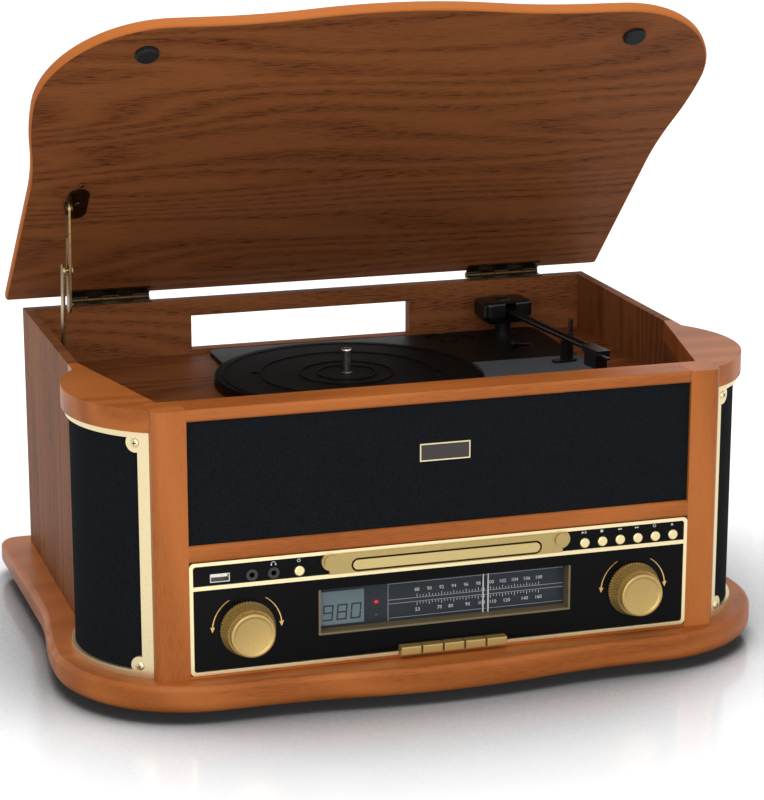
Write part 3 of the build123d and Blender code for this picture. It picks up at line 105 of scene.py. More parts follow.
# Profiles as (radius, height) in millimetres, and in shares of its radius for the screw
SCREW_DOME = ((0, 0.42), (0.45, 0.39), (0.8, 0.26), (0.96, 0.08), (1, -0.12))
KNOB_CAP = ((0, 15.8), (11.8, 15.8), (12.3, 15.9), (12.8, 16.4), (14.2, 16.45), (14.8, 16.1), (15.0, 15.5),
            (15.0, 11.0), (3.0, 10.9), (3.0, -8.0), (0, -8.0))
KNOB_CONE = ((18.9, 18.1, 0.0), (18.9, 18.1, 1.6), (18.5, 17.5, 2.4), (16.3, 15.4, 11.2))
KNOB_RIBS = 60
HEAD_BOSS = ((0, 2.3), (5.0, 2.3), (5.7, 2.0), (6.0, 1.4), (6.0, 1.2))
COLUMN_SCREW_ANGLE = math.radians(-52.95)
COLUMN_SCREW_LEVELS = (33.75, 185.85)

# Places and sizes that the node trees read, in metres
PLATTER_X = -0.0104
PLATTER_Y = 0.036
MAT_RIB_PITCH = 0.0016
MARK_THICKNESS = 0.00005
SOCKET_SPLIT_X = -0.144

# Printed marks, in millimetres on the faces of the dial and the panel
DIAL_LEFT = -36.8
DIAL_RIGHT = 88.4
DIAL_LINE_LEVELS = ((75.0, 1.0), (63.7, 1.0), (61.0, 1.0), (50.9, 0.8), (48.2, 1.6))
DIAL_FOOT = 47.6
SCALE_START = -16.4
UPPER_FIGURES = tuple((str(88 + 2 * i), i * 8.71) for i in range(11))
LOWER_FIGURES = (("53", 0.5), ("70", 16), ("80", 24), ("90", 36), ("100", 46), ("110", 54), ("120", 64),
                 ("140", 77), ("160", 87))
SCREEN_FIGURES = (("abcdfg", -83.0), ("abcdefg", -73.3), ("abcdef", -63.6))
LAMP_X = -45.0
ARROW_RADIUS = 23.5
ARROW_HALF_WIDTH = 1.6
ARROW_LEAD = 9
SIGN_LEVEL = 101.2
BUTTON_X = 99.6
BUTTON_PITCH = 12.93

# Camera, in millimetres and degrees, and lamps: name, place and size in metres, power in watts
CAMERA_PLACE = (-528.17, -1718.61, 635.75)
CAMERA_ANGLES = (-17.246, 14.763, 0.015)
CAMERA_LENS = 116.59
LAMPS = (
    ("key", (-1.6, -2.2, 2.6), 1.8, 26.0),
    ("fill", (2.2, -1.8, 1.4), 2.0, 7.0),
    ("top", (0.2, 0.2, 2.6), 2.2, 28.0),
    ("bounce", (-0.5, -2.4, 0.3), 2.0, 32.0),
)
LAMP_AIM = Vector((0, 0, 0.15))
WORLD_LIGHT = 0.42
FLOOR_REACH = 6.0


# Sizes and colours

class FinishSettings(bpy.types.PropertyGroup):
    """Colours of the woods, metals and plastics"""
    wood_light: bpy.props.StringProperty(
        name="Lacquered wood, light", description="sRGB hex of the solid wood's pale part", default="#BE6F36")
    wood_dark: bpy.props.StringProperty(
        name="Lacquered wood, dark", description="sRGB hex of the solid wood's grain", default="#8A4719")
    veneer_light: bpy.props.StringProperty(
        name="Veneer, light", description="sRGB hex of the pale part of the veneer", default="#945A33")
    veneer_dark: bpy.props.StringProperty(
        name="Veneer, dark", description="sRGB hex of the pores of the veneer", default="#4A2412")
    gold: bpy.props.StringProperty(
        name="Pale gold", description="sRGB hex of the metallised trim", default="#E0D0A6")
    knob_gold: bpy.props.StringProperty(
        name="Knob gold", description="sRGB hex of the knobs and keys", default="#B6995C")
    gloss: bpy.props.StringProperty(
        name="Black panel", description="sRGB hex of the glossy front panel", default="#0B0B0D")
    cloth: bpy.props.StringProperty(
        name="Speaker cloth", description="sRGB hex of the cloth threads", default="#2B2F33")


class PrintSettings(bpy.types.PropertyGroup):
    """Sizes of the printed marks"""
    digit_height: bpy.props.FloatProperty(
        name="Dial figure height", description="Height of the figures on the dial", default=0.0025,
        min=0.001, max=0.006, subtype="DISTANCE", unit="LENGTH")
    line_width: bpy.props.FloatProperty(
        name="Dial line width", description="Width of the dial's long lines", default=0.0004,
        min=0.0001, max=0.002, subtype="DISTANCE", unit="LENGTH")
    tick_pitch: bpy.props.FloatProperty(
        name="Tick pitch", description="Distance between two marks of the dial", default=0.00218,
        min=0.0005, max=0.01, subtype="DISTANCE", unit="LENGTH")
    tick_count: bpy.props.IntProperty(
        name="Ticks", description="Number of marks in each band of the dial", default=41, min=2, max=200)


class FittingSettings(bpy.types.PropertyGroup):
    """Sizes of screws and badge"""
    column_screw: bpy.props.FloatProperty(
        name="Column screw radius", description="Radius of the screws in the column frames", default=0.0031,
        min=0.001, max=0.006, subtype="DISTANCE", unit="LENGTH")
    hinge_screw: bpy.props.FloatProperty(
        name="Hinge screw radius", description="Radius of the small steel screws", default=0.0019,
        min=0.0005, max=0.004, subtype="DISTANCE", unit="LENGTH")
    badge_width: bpy.props.FloatProperty(
        name="Plate width", description="Width of the bare plate on the grille", default=0.0352,
        min=0.01, max=0.08, subtype="DISTANCE", unit="LENGTH")
    badge_height: bpy.props.FloatProperty(
        name="Plate height", description="Height of the bare plate on the grille", default=0.0122,
        min=0.004, max=0.04, subtype="DISTANCE", unit="LENGTH")


# Material tools

def linear(hex_colour):
    """sRGB hex to a linear RGBA colour."""
    channels = [int(hex_colour[i:i + 2], 16) / 255 for i in (1, 3, 5)]
    return tuple(c / 12.92 if c <= 0.04045 else ((c + 0.055) / 1.055) ** 2.4 for c in channels) + (1.0,)


def add_node(tree, kind, inputs=None, **settings):
    """Adds one node. A value in inputs is either a number to set or a socket to link."""
    node = tree.nodes.new(kind)
    for name, value in settings.items():
        setattr(node, name, value)
    for key, value in (inputs or {}).items():
        if isinstance(value, bpy.types.NodeSocket):
            tree.links.new(value, node.inputs[key])
        else:
            node.inputs[key].default_value = value
    return node


def shader(name, **values):
    """A new material with a Principled shader. Returns the material, its tree and the shader."""
    material = bpy.data.materials.new(name)
    material.use_nodes = True
    tree = material.node_tree
    surface = tree.nodes["Principled BSDF"]
    for key, value in values.items():
        surface.inputs[key.replace("_", " ")].default_value = value
    return material, tree, surface


def blend_colours(tree, factor, low, high, start=0.0, end=1.0):
    """A ramp between two hex colours."""
    ramp = add_node(tree, "ShaderNodeValToRGB", {"Fac": factor})
    ramp.color_ramp.elements[0].position = start
    ramp.color_ramp.elements[0].color = linear(low)
    ramp.color_ramp.elements[1].position = end
    ramp.color_ramp.elements[1].color = linear(high)
    return ramp.outputs["Color"]


def maths(tree, operation, *values):
    """One maths node. Returns its result."""
    return add_node(tree, "ShaderNodeMath", dict(enumerate(values)), operation=operation).outputs[0]


def speckle(tree, place, scale, detail=2.0):
    """Noise that is equal along all axes. Scale is in features per metre."""
    values = {"Vector": place, "Scale": scale, "Detail": detail}
    return add_node(tree, "ShaderNodeTexNoise", values).outputs["Fac"]


def emboss(tree, surface, height, strength, distance):
    """Links a height to the shader as bump. Distance is in metres."""
    values = {"Height": height, "Strength": strength, "Distance": distance}
    tree.links.new(add_node(tree, "ShaderNodeBump", values).outputs[0], surface.inputs["Normal"])


def stretched_noise(tree, place, scale, detail=2.0):
    """Noise drawn out along X. Scale is in features per metre along X, Y and Z."""
    drawn = add_node(tree, "ShaderNodeMapping", {"Vector": place, "Scale": scale}).outputs["Vector"]
    return speckle(tree, drawn, 1.0, detail)


def wood(name, light, dark, turn=(0, 0, 0), figure=0.5, pore=0.6, roughness=0.55, ring_count=26.0,
         shine=0.07):
    """Stained wood under thin lacquer. The grain runs along X before the pattern is turned.
    Rings are the level lines of a drawn-out noise; pores are about 0.6 mm wide and 12 mm long."""
    material, tree, surface = shader(name, Roughness=roughness, Specular_IOR_Level=shine)
    place = add_node(tree, "ShaderNodeTexCoord").outputs["Object"]
    turned = add_node(tree, "ShaderNodeMapping", {"Vector": place, "Rotation": turn}).outputs["Vector"]
    hill = stretched_noise(tree, turned, (1.1, 9.0, 9.0), 1.5)
    rings = maths(tree, "SINE", maths(tree, "MULTIPLY", hill, FULL_TURN * ring_count))
    ring_mark = maths(tree, "MULTIPLY_ADD", rings, 0.5 * figure, 0.5 * figure)
    cloud = stretched_noise(tree, turned, (2.5, 22.0, 22.0), 4.0)
    cloud_mark = add_node(tree, "ShaderNodeMapRange", {"Value": cloud, "From Min": 0.3, "From Max": 0.7,
                          "To Min": 0.0, "To Max": figure}).outputs[0]
    pores = stretched_noise(tree, turned, (85.0, 1500.0, 1500.0), 2.0)
    pore_mark = add_node(tree, "ShaderNodeMapRange", {"Value": pores, "From Min": 0.5, "From Max": 0.64,
                         "To Min": 0.0, "To Max": pore}).outputs[0]
    denser = maths(tree, "MULTIPLY", pore_mark, maths(tree, "MULTIPLY_ADD", rings, 0.3, 0.7))
    figured = maths(tree, "ADD", ring_mark, cloud_mark)
    total = maths(tree, "ADD", maths(tree, "MULTIPLY", figured, 0.5), denser)
    tree.links.new(blend_colours(tree, total, light, dark), surface.inputs["Base Color"])
    bump = add_node(tree, "ShaderNodeBump", {"Height": denser, "Strength": 0.15, "Distance": 0.0002},
                    invert=True).outputs[0]
    tree.links.new(bump, surface.inputs["Normal"])
    return material


def veneered_lid(settings):
    """Veneer on the flat faces and lacquered solid wood on the rounded edge of the lid."""
    lean = (-LID_OPEN, 0, 0)
    material = wood("oak veneer lid", settings.veneer_light, settings.veneer_dark, turn=lean)
    tree = material.node_tree
    surface = tree.nodes["Principled BSDF"]
    face = surface.inputs["Base Color"].links[0].from_socket
    normal = add_node(tree, "ShaderNodeTexCoord").outputs["Normal"]
    up = (0.0, math.sin(LID_OPEN), math.cos(LID_OPEN))
    facing = add_node(tree, "ShaderNodeVectorMath", {0: normal, 1: up},
                      operation="DOT_PRODUCT").outputs["Value"]
    flatness = maths(tree, "ABSOLUTE", facing)
    edge = add_node(tree, "ShaderNodeMapRange", {"Value": flatness, "From Min": 0.985, "From Max": 0.999,
                    "To Min": 1.0, "To Max": 0.0}).outputs[0]
    solid = linear(settings.wood_light)
    mix = add_node(tree, "ShaderNodeMix", {0: edge, 6: face, 7: solid}, data_type="RGBA")
    tree.links.new(mix.outputs[2], surface.inputs["Base Color"])
    return material


def woven(name, thread, gap, pitch_mm=1.3, round_column=False):
    """Plain woven speaker cloth. Two crossed waves stand for warp and weft.
    The threads are drawn about twice as coarse as real ones so that they show."""
    material, tree, surface = shader(name, Roughness=0.95, Specular_IOR_Level=0.05)
    place = add_node(tree, "ShaderNodeTexCoord").outputs["Object"]
    split = add_node(tree, "ShaderNodeSeparateXYZ", {0: place})
    across = split.outputs["X"]
    if round_column:
        side = maths(tree, "ABSOLUTE", split.outputs["X"])
        out = maths(tree, "SUBTRACT", side, LOBE_X * MM)
        back = maths(tree, "SUBTRACT", split.outputs["Y"], LOBE_Y * MM)
        angle = maths(tree, "ARCTAN2", back, out)
        across = maths(tree, "MULTIPLY", angle, 0.078)
    grid = add_node(tree, "ShaderNodeCombineXYZ", {"X": across, "Y": split.outputs["Z"]}).outputs[0]
    turn = FULL_TURN / (pitch_mm * MM)
    waves = []
    for axis in ("X", "Y"):
        part = add_node(tree, "ShaderNodeSeparateXYZ", {0: grid}).outputs[axis]
        phase = maths(tree, "MULTIPLY", part, turn)
        waves.append(maths(tree, "SINE", phase))
    weave = maths(tree, "MULTIPLY", waves[0], waves[1])
    height = add_node(tree, "ShaderNodeMapRange",
                      {"Value": weave, "From Min": -0.8, "From Max": 0.8}).outputs[0]
    fleck = speckle(tree, place, 900.0, 1.0)
    mixed = maths(tree, "MULTIPLY", height, fleck)
    tree.links.new(blend_colours(tree, mixed, gap, thread, 0.05, 0.75), surface.inputs["Base Color"])
    emboss(tree, surface, height, 0.5, 0.0003)
    return material


def metal(name, colour, roughness=0.3, wear="", grain=0.06, scale=350.0, metallic=1.0):
    """Metal or metallised plastic with a fine variation of its gloss."""
    material, tree, surface = shader(name, Metallic=metallic, Roughness=roughness)
    place = add_node(tree, "ShaderNodeTexCoord").outputs["Object"]
    noise = speckle(tree, place, scale, 3.0)
    tone = blend_colours(tree, noise, wear or colour, colour, 0.25, 0.6)
    tree.links.new(tone, surface.inputs["Base Color"])
    rough = add_node(tree, "ShaderNodeMapRange", {"Value": noise, "To Min": roughness - grain,
                     "To Max": roughness + grain}).outputs[0]
    tree.links.new(rough, surface.inputs["Roughness"])
    return material


def moulded(name, colour, roughness=0.45, texture=0.15, scale=1800.0, coat=0.0, shine=0.3):
    """Moulded plastic or rubber: fine pitted surface, slight change of tone."""
    material, tree, surface = shader(name, Roughness=roughness, Coat_Weight=coat, Coat_Roughness=0.05,
                                     Specular_IOR_Level=shine)
    place = add_node(tree, "ShaderNodeTexCoord").outputs["Object"]
    pits = speckle(tree, place, scale, 2.0)
    tone = speckle(tree, place, 14.0, 3.0)
    deep = add_node(tree, "ShaderNodeHueSaturation", {"Value": 0.82, "Color": linear(colour)}).outputs[0]
    mix = add_node(tree, "ShaderNodeMix", {0: tone, 6: deep, 7: linear(colour)}, data_type="RGBA")
    tree.links.new(mix.outputs[2], surface.inputs["Base Color"])
    emboss(tree, surface, pits, texture, 0.00015)
    return material


def grooved_rubber(name, colour):
    """Rubber mat with fine round ribs about 1.6 mm apart round the spindle."""
    material = moulded(name, colour, roughness=0.6, texture=0.1, shine=0.05)
    tree = material.node_tree
    surface = tree.nodes["Principled BSDF"]
    place = add_node(tree, "ShaderNodeTexCoord").outputs["Object"]
    split = add_node(tree, "ShaderNodeSeparateXYZ", {0: place})
    x = maths(tree, "SUBTRACT", split.outputs["X"], PLATTER_X)
    y = maths(tree, "SUBTRACT", split.outputs["Y"], PLATTER_Y)
    flat = add_node(tree, "ShaderNodeCombineXYZ", {"X": x, "Y": y}).outputs[0]
    radius = add_node(tree, "ShaderNodeVectorMath", {0: flat}, operation="LENGTH").outputs["Value"]
    phase = maths(tree, "MULTIPLY", radius, FULL_TURN / MAT_RIB_PITCH)
    ribs = maths(tree, "SINE", phase)
    emboss(tree, surface, ribs, 0.25, 0.0003)
    return material


def two_zone(name, front, back, limit, axis="Y"):
    """One piece that is metal up to a limit along an axis, and moulded plastic beyond it."""
    material, tree, surface = shader(name, Roughness=0.35)
    place = add_node(tree, "ShaderNodeTexCoord").outputs["Object"]
    along = add_node(tree, "ShaderNodeSeparateXYZ", {0: place}).outputs[axis]
    behind = maths(tree, "GREATER_THAN", along, limit)
    ahead = maths(tree, "SUBTRACT", 1.0, behind)
    mix = add_node(tree, "ShaderNodeMix", {0: behind, 6: linear(front), 7: linear(back)}, data_type="RGBA")
    tree.links.new(mix.outputs[2], surface.inputs["Base Color"])
    tree.links.new(ahead, surface.inputs["Metallic"])
    return material


MATERIALS = {}


# Mesh tools

def piece(name, bm, material, body="cabinet", smooth=False):
    """Makes an object of a bmesh whose points are in metres in the part's frame, and lets it ride."""
    mesh = bpy.data.meshes.new(name)
    bmesh.ops.recalc_face_normals(bm, faces=bm.faces)
    bm.to_mesh(mesh)
    bm.free()
    for face in mesh.polygons:
        face.use_smooth = smooth
    mesh.materials.append(material)
    made = bpy.data.objects.new(name, mesh)
    bpy.context.scene.collection.objects.link(made)
    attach(made, body)
    return made


def place_on(x, y, z, normal=(0, -1, 0), up=(0, 0, 1)):
    """A matrix whose Z points along normal, at a point in millimetres."""
    out = Vector(normal).normalized()
    side = Vector(up).cross(out).normalized()
    top = out.cross(side)
    return Matrix.Translation(Vector((x, y, z)) * MM) @ Matrix((side, top, out)).transposed().to_4x4()


def ring_point(bm, matrix, radius, turn, height):
    """A point round the Z of matrix, given in millimetres and radians."""
    return bm.verts.new(matrix @ (Vector((radius * math.cos(turn), radius * math.sin(turn), height)) * MM))


def lathe(bm, profile, matrix, steps=32):
    """Turns a profile of (radius, height) in millimetres round the Z of matrix."""
    rows = []
    for radius, height in profile:
        if radius <= 1e-6:
            rows.append([bm.verts.new(matrix @ Vector((0, 0, height * MM)))])
            continue
        turns = [FULL_TURN * i / steps for i in range(steps)]
        rows.append([ring_point(bm, matrix, radius, turn, height) for turn in turns])
    for a, b in zip(rows, rows[1:]):
        for i in range(steps):
            j = (i + 1) % steps
            corners = [a[i % len(a)], a[j % len(a)], b[j % len(b)], b[i % len(b)]]
            unique = list(dict.fromkeys(corners))
            if len(unique) > 2:
                bm.faces.new(unique)


def ribbed(bm, rings, ribs, matrix):
    """A ribbed cone about the Z of matrix.
    A ring is (radius at ribs, radius between ribs, height) in millimetres."""
    rows = []
    for rim, root, height in rings:
        turns = [math.pi * i / ribs for i in range(2 * ribs)]
        radii = [rim, root] * ribs
        rows.append([ring_point(bm, matrix, radius, turn, height) for radius, turn in zip(radii, turns)])
    for low, high in zip(rows, rows[1:]):
        for i in range(2 * ribs):
            j = (i + 1) % (2 * ribs)
            bm.faces.new((low[i], low[j], high[j], high[i]))
    bm.faces.new(rows[0][::-1])
    bm.faces.new(rows[-1])


def slab(bm, x0, x1, y0, y1, matrix, thick=0.08):
    """A thin block on the plane of matrix, in millimetres, standing out by thick."""
    corners = [(x0, y0), (x1, y0), (x1, y1), (x0, y1)]
    low = [bm.verts.new(matrix @ Vector((x * MM, y * MM, 0))) for x, y in corners]
    high = [bm.verts.new(matrix @ Vector((x * MM, y * MM, thick * MM))) for x, y in corners]
    bm.faces.new(low[::-1])
    bm.faces.new(high)
    for i in range(4):
        bm.faces.new((low[i], low[(i + 1) % 4], high[(i + 1) % 4], high[i]))


def outline_slab(bm, points, matrix, thick=0.08):
    """A thin block with any outline, in millimetres on the plane of matrix."""
    low = [bm.verts.new(matrix @ Vector((x * MM, y * MM, 0))) for x, y in points]
    high = [bm.verts.new(matrix @ Vector((x * MM, y * MM, thick * MM))) for x, y in points]
    bm.faces.new(low[::-1])
    bm.faces.new(high)
    for i in range(len(points)):
        j = (i + 1) % len(points)
        bm.faces.new((low[i], low[j], high[j], high[i]))


def arc_band(bm, centre, radius, start, end, width, matrix, thick=0.08, steps=24, taper=True):
    """A band along an arc, in degrees, narrower at its start when tapered."""
    inner, outer = [], []
    for i in range(steps + 1):
        share = i / steps
        angle = math.radians(start + (end - start) * share)
        half = width * (0.35 + 0.65 * share if taper else 1.0) / 2
        for side, reach in ((inner, radius - half), (outer, radius + half)):
            side.append((centre[0] + reach * math.cos(angle), centre[1] + reach * math.sin(angle)))
    for i in range(steps):
        outline_slab(bm, [inner[i], inner[i + 1], outer[i + 1], outer[i]], matrix, thick)


def figures(name, marks, height, matrix, material, body="cabinet", thick=0.05):
    """Plain figures as flat mesh. Each mark is (text, x, y) in millimetres on the plane of matrix."""
    joined = bmesh.new()
    for text, x, y in marks:
        curve = bpy.data.curves.new(name, "FONT")
        curve.body = text
        curve.size = height / MM * 1.4
        curve.align_x = "CENTER"
        curve.align_y = "CENTER"
        curve.extrude = thick / 2
        curve.resolution_u = 2
        holder = bpy.data.objects.new(name, curve)
        bpy.context.scene.collection.objects.link(holder)
        bpy.context.view_layer.update()
        mesh = bpy.data.meshes.new_from_object(holder.evaluated_get(bpy.context.evaluated_depsgraph_get()))
        mesh.transform(matrix @ Matrix.Translation((x * MM, y * MM, thick * MM / 2)) @ Matrix.Scale(MM, 4))
        joined.from_mesh(mesh)
        bpy.data.objects.remove(holder)
        bpy.data.curves.remove(curve)
    bmesh.ops.remove_doubles(joined, verts=joined.verts, dist=1e-7)
    return piece(name, joined, material, body)


def row_tree():
    """Geometry nodes: a row of small upright blocks, every fifth one taller."""
    tree = bpy.data.node_groups.new("row of marks", "GeometryNodeTree")
    tree.interface.new_socket("Geometry", in_out="OUTPUT", socket_type="NodeSocketGeometry")
    for label, kind, value in (("Count", "NodeSocketInt", 41), ("Pitch", "NodeSocketFloat", 0.002),
                               ("Start", "NodeSocketVector", (0, 0, 0)), ("Width", "NodeSocketFloat", 0.0003),
                               ("Height", "NodeSocketFloat", 0.0014), ("Tall", "NodeSocketFloat", 1.7),
                               ("Every", "NodeSocketInt", 4), ("Grows", "NodeSocketFloat", 1.0),
                               ("Material", "NodeSocketMaterial", None)):
        socket = tree.interface.new_socket(label, in_out="INPUT", socket_type=kind)
        if value is not None:
            socket.default_value = value
    given = add_node(tree, "NodeGroupInput").outputs
    step = add_node(tree, "ShaderNodeCombineXYZ", {"X": given["Pitch"]}).outputs[0]
    row = add_node(tree, "GeometryNodeMeshLine", {"Count": given["Count"], "Start Location": given["Start"],
                   "Offset": step}).outputs["Mesh"]
    size = add_node(tree, "ShaderNodeCombineXYZ",
                    {"X": given["Width"], "Y": MARK_THICKNESS, "Z": given["Height"]}).outputs[0]
    block = add_node(tree, "GeometryNodeMeshCube", {"Size": size}).outputs["Mesh"]
    half = maths(tree, "MULTIPLY", given["Height"], 0.5)
    signed = maths(tree, "MULTIPLY", half, given["Grows"])
    lift = add_node(tree, "ShaderNodeCombineXYZ", {"Z": signed}).outputs[0]
    raised = add_node(tree, "GeometryNodeTransform", {"Geometry": block, "Translation": lift}).outputs[0]
    index = add_node(tree, "GeometryNodeInputIndex").outputs[0]
    rest = maths(tree, "MODULO", index, given["Every"])
    whole = maths(tree, "LESS_THAN", rest, 0.5)
    extra = maths(tree, "SUBTRACT", given["Tall"], 1.0)
    grown = maths(tree, "MULTIPLY_ADD", whole, extra, 1.0)
    scale = add_node(tree, "ShaderNodeCombineXYZ", {"X": 1.0, "Y": 1.0, "Z": grown}).outputs[0]
    placed = add_node(tree, "GeometryNodeInstanceOnPoints",
                      {"Points": row, "Instance": raised, "Scale": scale}).outputs[0]
    real = add_node(tree, "GeometryNodeRealizeInstances", {"Geometry": placed}).outputs[0]
    painted = add_node(tree, "GeometryNodeSetMaterial",
                       {"Geometry": real, "Material": given["Material"]}).outputs[0]
    add_node(tree, "NodeGroupOutput", {"Geometry": painted})
    return tree


def row_of_marks(name, tree, material, body="cabinet", **values):
    """Runs the row tree and keeps its result as a plain mesh."""
    holder = bpy.data.objects.new(name, bpy.data.meshes.new(name))
    bpy.context.scene.collection.objects.link(holder)
    rows = holder.modifiers.new("row", "NODES")
    rows.node_group = tree
    sockets = {item.name: item.identifier for item in tree.interface.items_tree if item.in_out == "INPUT"}
    for key, value in dict(values, Material=material).items():
        rows[sockets[key]] = value
    bpy.context.view_layer.update()
    mesh = bpy.data.meshes.new_from_object(holder.evaluated_get(bpy.context.evaluated_depsgraph_get()))
    holder.modifiers.clear()
    holder.data = mesh
    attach(holder, body)
    return holder


def screw_heads(name, places, radius, material, dark, body="cabinet"):
    """Domed screws with a crossed slot, set on faces given by point and normal. The slot is drawn as thin
    raised strips in near-black: painted shade in the groove.
    """
    heads = bmesh.new()
    slots = bmesh.new()
    for index, (point, normal, up) in enumerate(places):
        turn = Matrix.Rotation(0.5 + 1.1 * index, 4, "Z")
        matrix = place_on(*point, normal=normal, up=up) @ turn
        r = radius / MM
        lathe(heads, [(out * r, height * r) for out, height in SCREW_DOME], matrix, steps=24)
        top = matrix @ Matrix.Translation((0, 0, 0.385 * radius))
        slab(slots, -0.5 * r, 0.5 * r, -0.09 * r, 0.09 * r, top, thick=0.05 * r)
        slab(slots, -0.09 * r, 0.09 * r, -0.5 * r, 0.5 * r, top, thick=0.05 * r)
    piece(name, heads, material, body, smooth=True)
    piece(name + "_slots", slots, dark, body)


# Operators

class RP_OT_finishes(bpy.types.Operator):
    """Gives every part of the player its finish"""
    bl_idname = "record_player.finishes"
    bl_label = "Finishes"

    def execute(self, context):
        s = context.scene.player_finish
        made = {
            # Solid wood, stained orange and sprayed with satin lacquer
            "solid": wood("lacquered beech", s.wood_light, s.wood_dark, figure=0.7, pore=0.3, roughness=0.38,
                          ring_count=9.0, shine=0.15),
            "solid_upright": wood("lacquered beech upright", s.wood_light, s.wood_dark, turn=UPRIGHT,
                                  figure=0.7, pore=0.3, roughness=0.38, ring_count=9.0, shine=0.15),
            # Open-pored veneer with dark pores under a thin lacquer
            "veneer": wood("oak veneer", s.veneer_light, s.veneer_dark),
            "veneer_upright": wood("oak veneer upright", s.veneer_light, s.veneer_dark, turn=UPRIGHT),
            "lid": veneered_lid(s),
            "cloth": woven("woven speaker cloth", s.cloth, "#08090B"),
            "column_cloth": woven("woven speaker cloth round", s.cloth, "#08090B", round_column=True),
            "gold": metal("metallised trim", s.gold, roughness=0.34, wear="#D6C59A", scale=1200.0,
                          metallic=0.85),
            "bezel_gold": metal("bronzed bezel", "#AC9760", roughness=0.36, wear="#9D8852", scale=1200.0,
                                metallic=0.7),
            "button_gold": metal("metallised button", "#DDCB9E", roughness=0.3, wear="#D3BF8E", scale=1200.0),
            # The trim's inner walls in the display recess are dark olive and not metallic, instead of gold:
            # painted shade in the recess.
            "trim": two_zone("trim with painted shade on inner walls", s.gold, "#6F6040", (PANEL - 0.2) * MM),
            "sockets": two_zone("socket shells", "#C8C6C0", "#161616", SOCKET_SPLIT_X, axis="X"),
            "knob_gold": metal("metallised knob", s.knob_gold, roughness=0.34, wear="#AB8E50", scale=1200.0,
                               metallic=0.55),
            "gloss": moulded("polished black acrylic", s.gloss, roughness=0.1, texture=0.0, shine=0.06),
            "black": moulded("moulded black ABS", "#15130F", roughness=0.5, texture=0.2, shine=0.12),
            "satin_black": moulded("satin black ABS", "#0E0F11", roughness=0.3, texture=0.06, shine=0.35),
            "rubber": moulded("black rubber", "#121212", roughness=0.7, texture=0.3),
            "mat": grooved_rubber("ribbed rubber mat", "#0D0C0B"),
            "rim": moulded("painted platter", "#100D0A", roughness=0.45, texture=0.0, shine=0.1),
            "steel": metal("nickel-plated steel", "#C8C6C0", roughness=0.22, wear="#A9A7A2"),
            "dull_steel": metal("bronzed steel", "#54432C", roughness=0.38, wear="#33281A"),
            "stay_steel": metal("brassed steel links", "#A58B5E", roughness=0.35, wear="#7D6A48"),
            "plate": moulded("grey moulded ABS", "#5A6268", roughness=0.45, texture=0.2, shine=0.12),
            "dial": moulded("printed dial film", "#30353B", roughness=0.3, texture=0.0, shine=0.15),
            "lcd": moulded("display glass", "#6E7F86", roughness=0.25, texture=0.0, shine=0.2),
            "pointer": moulded("clear pointer", "#D6D8DA", roughness=0.25, texture=0.0, coat=0.5),
            "board": moulded("solder-masked board", "#1F5A36", roughness=0.4, texture=0.1),
            "paper": moulded("speaker cone paper", "#1D1C1B", roughness=0.85, texture=0.4),
            "drawer": two_zone("drawer with metallised front", "#B9A571", "#111113", (PANEL + 0.2) * MM),
            "ink_white": moulded("pale printing ink", "#D9DBDC", roughness=0.5, texture=0.0),
            "ink_grey": moulded("grey printing ink", "#9FA3A8", roughness=0.5, texture=0.0),
            "ink_gold": metal("gold printing ink", "#C9A864", roughness=0.4),
            "segment": moulded("dark display segment", "#23282C", roughness=0.4, texture=0.0),
            "lamp": moulded("red lamp lens", "#C21D2C", roughness=0.15, texture=0.0, coat=0.6),
            "smoke": moulded("smoked lamp lens", "#3C3A39", roughness=0.2, texture=0.0, coat=0.5),
            "brown": moulded("bare enamelled plate", "#231512", roughness=0.22, texture=0.0, coat=0.5),
            # Near-black for the screw slots: painted shade in the grooves.
            "dark": moulded("painted slot shade", "#0A0908", roughness=0.8, texture=0.0),
        }
        MATERIALS.update(made)
        finish_of = {
            "solid": ["plinth", "front_rails", "corner_blocks"],
            "solid_upright": ["front_posts"],
            "veneer": ["rear_wall", "deck_board"],
            "veneer_upright": ["side_walls", "cheek_boards"],
            "lid": ["lid"],
            "cloth": ["grille_cloth"],
            "column_cloth": ["column_grilles"],
            "gold": ["column_frames"],
            "trim": ["panel_trim"],
            "bezel_gold": ["disc_bezel"],
            "sockets": ["input_sockets"],
            "knob_gold": ["volume_knob", "tuning_knob", "tuner_key", "disc_key", "tape_key", "phono_key",
                          "tone_key"],
            "button_gold": ["play_button", "stop_button", "next_button", "previous_button", "repeat_button",
                            "eject_button", "record_button"],
            "gloss": ["control_panel"],
            "black": ["deck_chassis", "disc_loader", "rear_panel", "drive_motor"],
            "satin_black": ["arm_supports", "arm_head", "tonearm", "cartridge", "arm_clip", "cue_lever",
                            "speed_lever"],
            "rubber": ["rubber_feet", "lid_bumpers"],
            "mat": ["platter_mat"],
            "rim": ["platter"],
            "steel": ["spindle", "motor_pulley"],
            "dull_steel": ["hinge_box_leaves", "hinge_lid_leaves", "stay_box_bracket", "stay_lid_bracket"],
            "stay_steel": ["stay_upper_link", "stay_lower_link"],
            "plate": ["control_plate"],
            "dial": ["dial_plate"],
            "lcd": ["lcd_screen"],
            "pointer": ["dial_pointer"],
            "board": ["electronics"],
            "paper": ["speakers"],
            "drawer": ["disc_drawer"],
        }
        seen = set()
        for finish, names in finish_of.items():
            for name in names:
                mesh = NODES[name].data
                mesh.materials.clear()
                mesh.materials.append(MATERIALS[finish])
                seen.add(name)
        bare = set(NODES) - seen
        if bare:
            raise RuntimeError("no finish for: " + ", ".join(sorted(bare)))
        return {"FINISHED"}


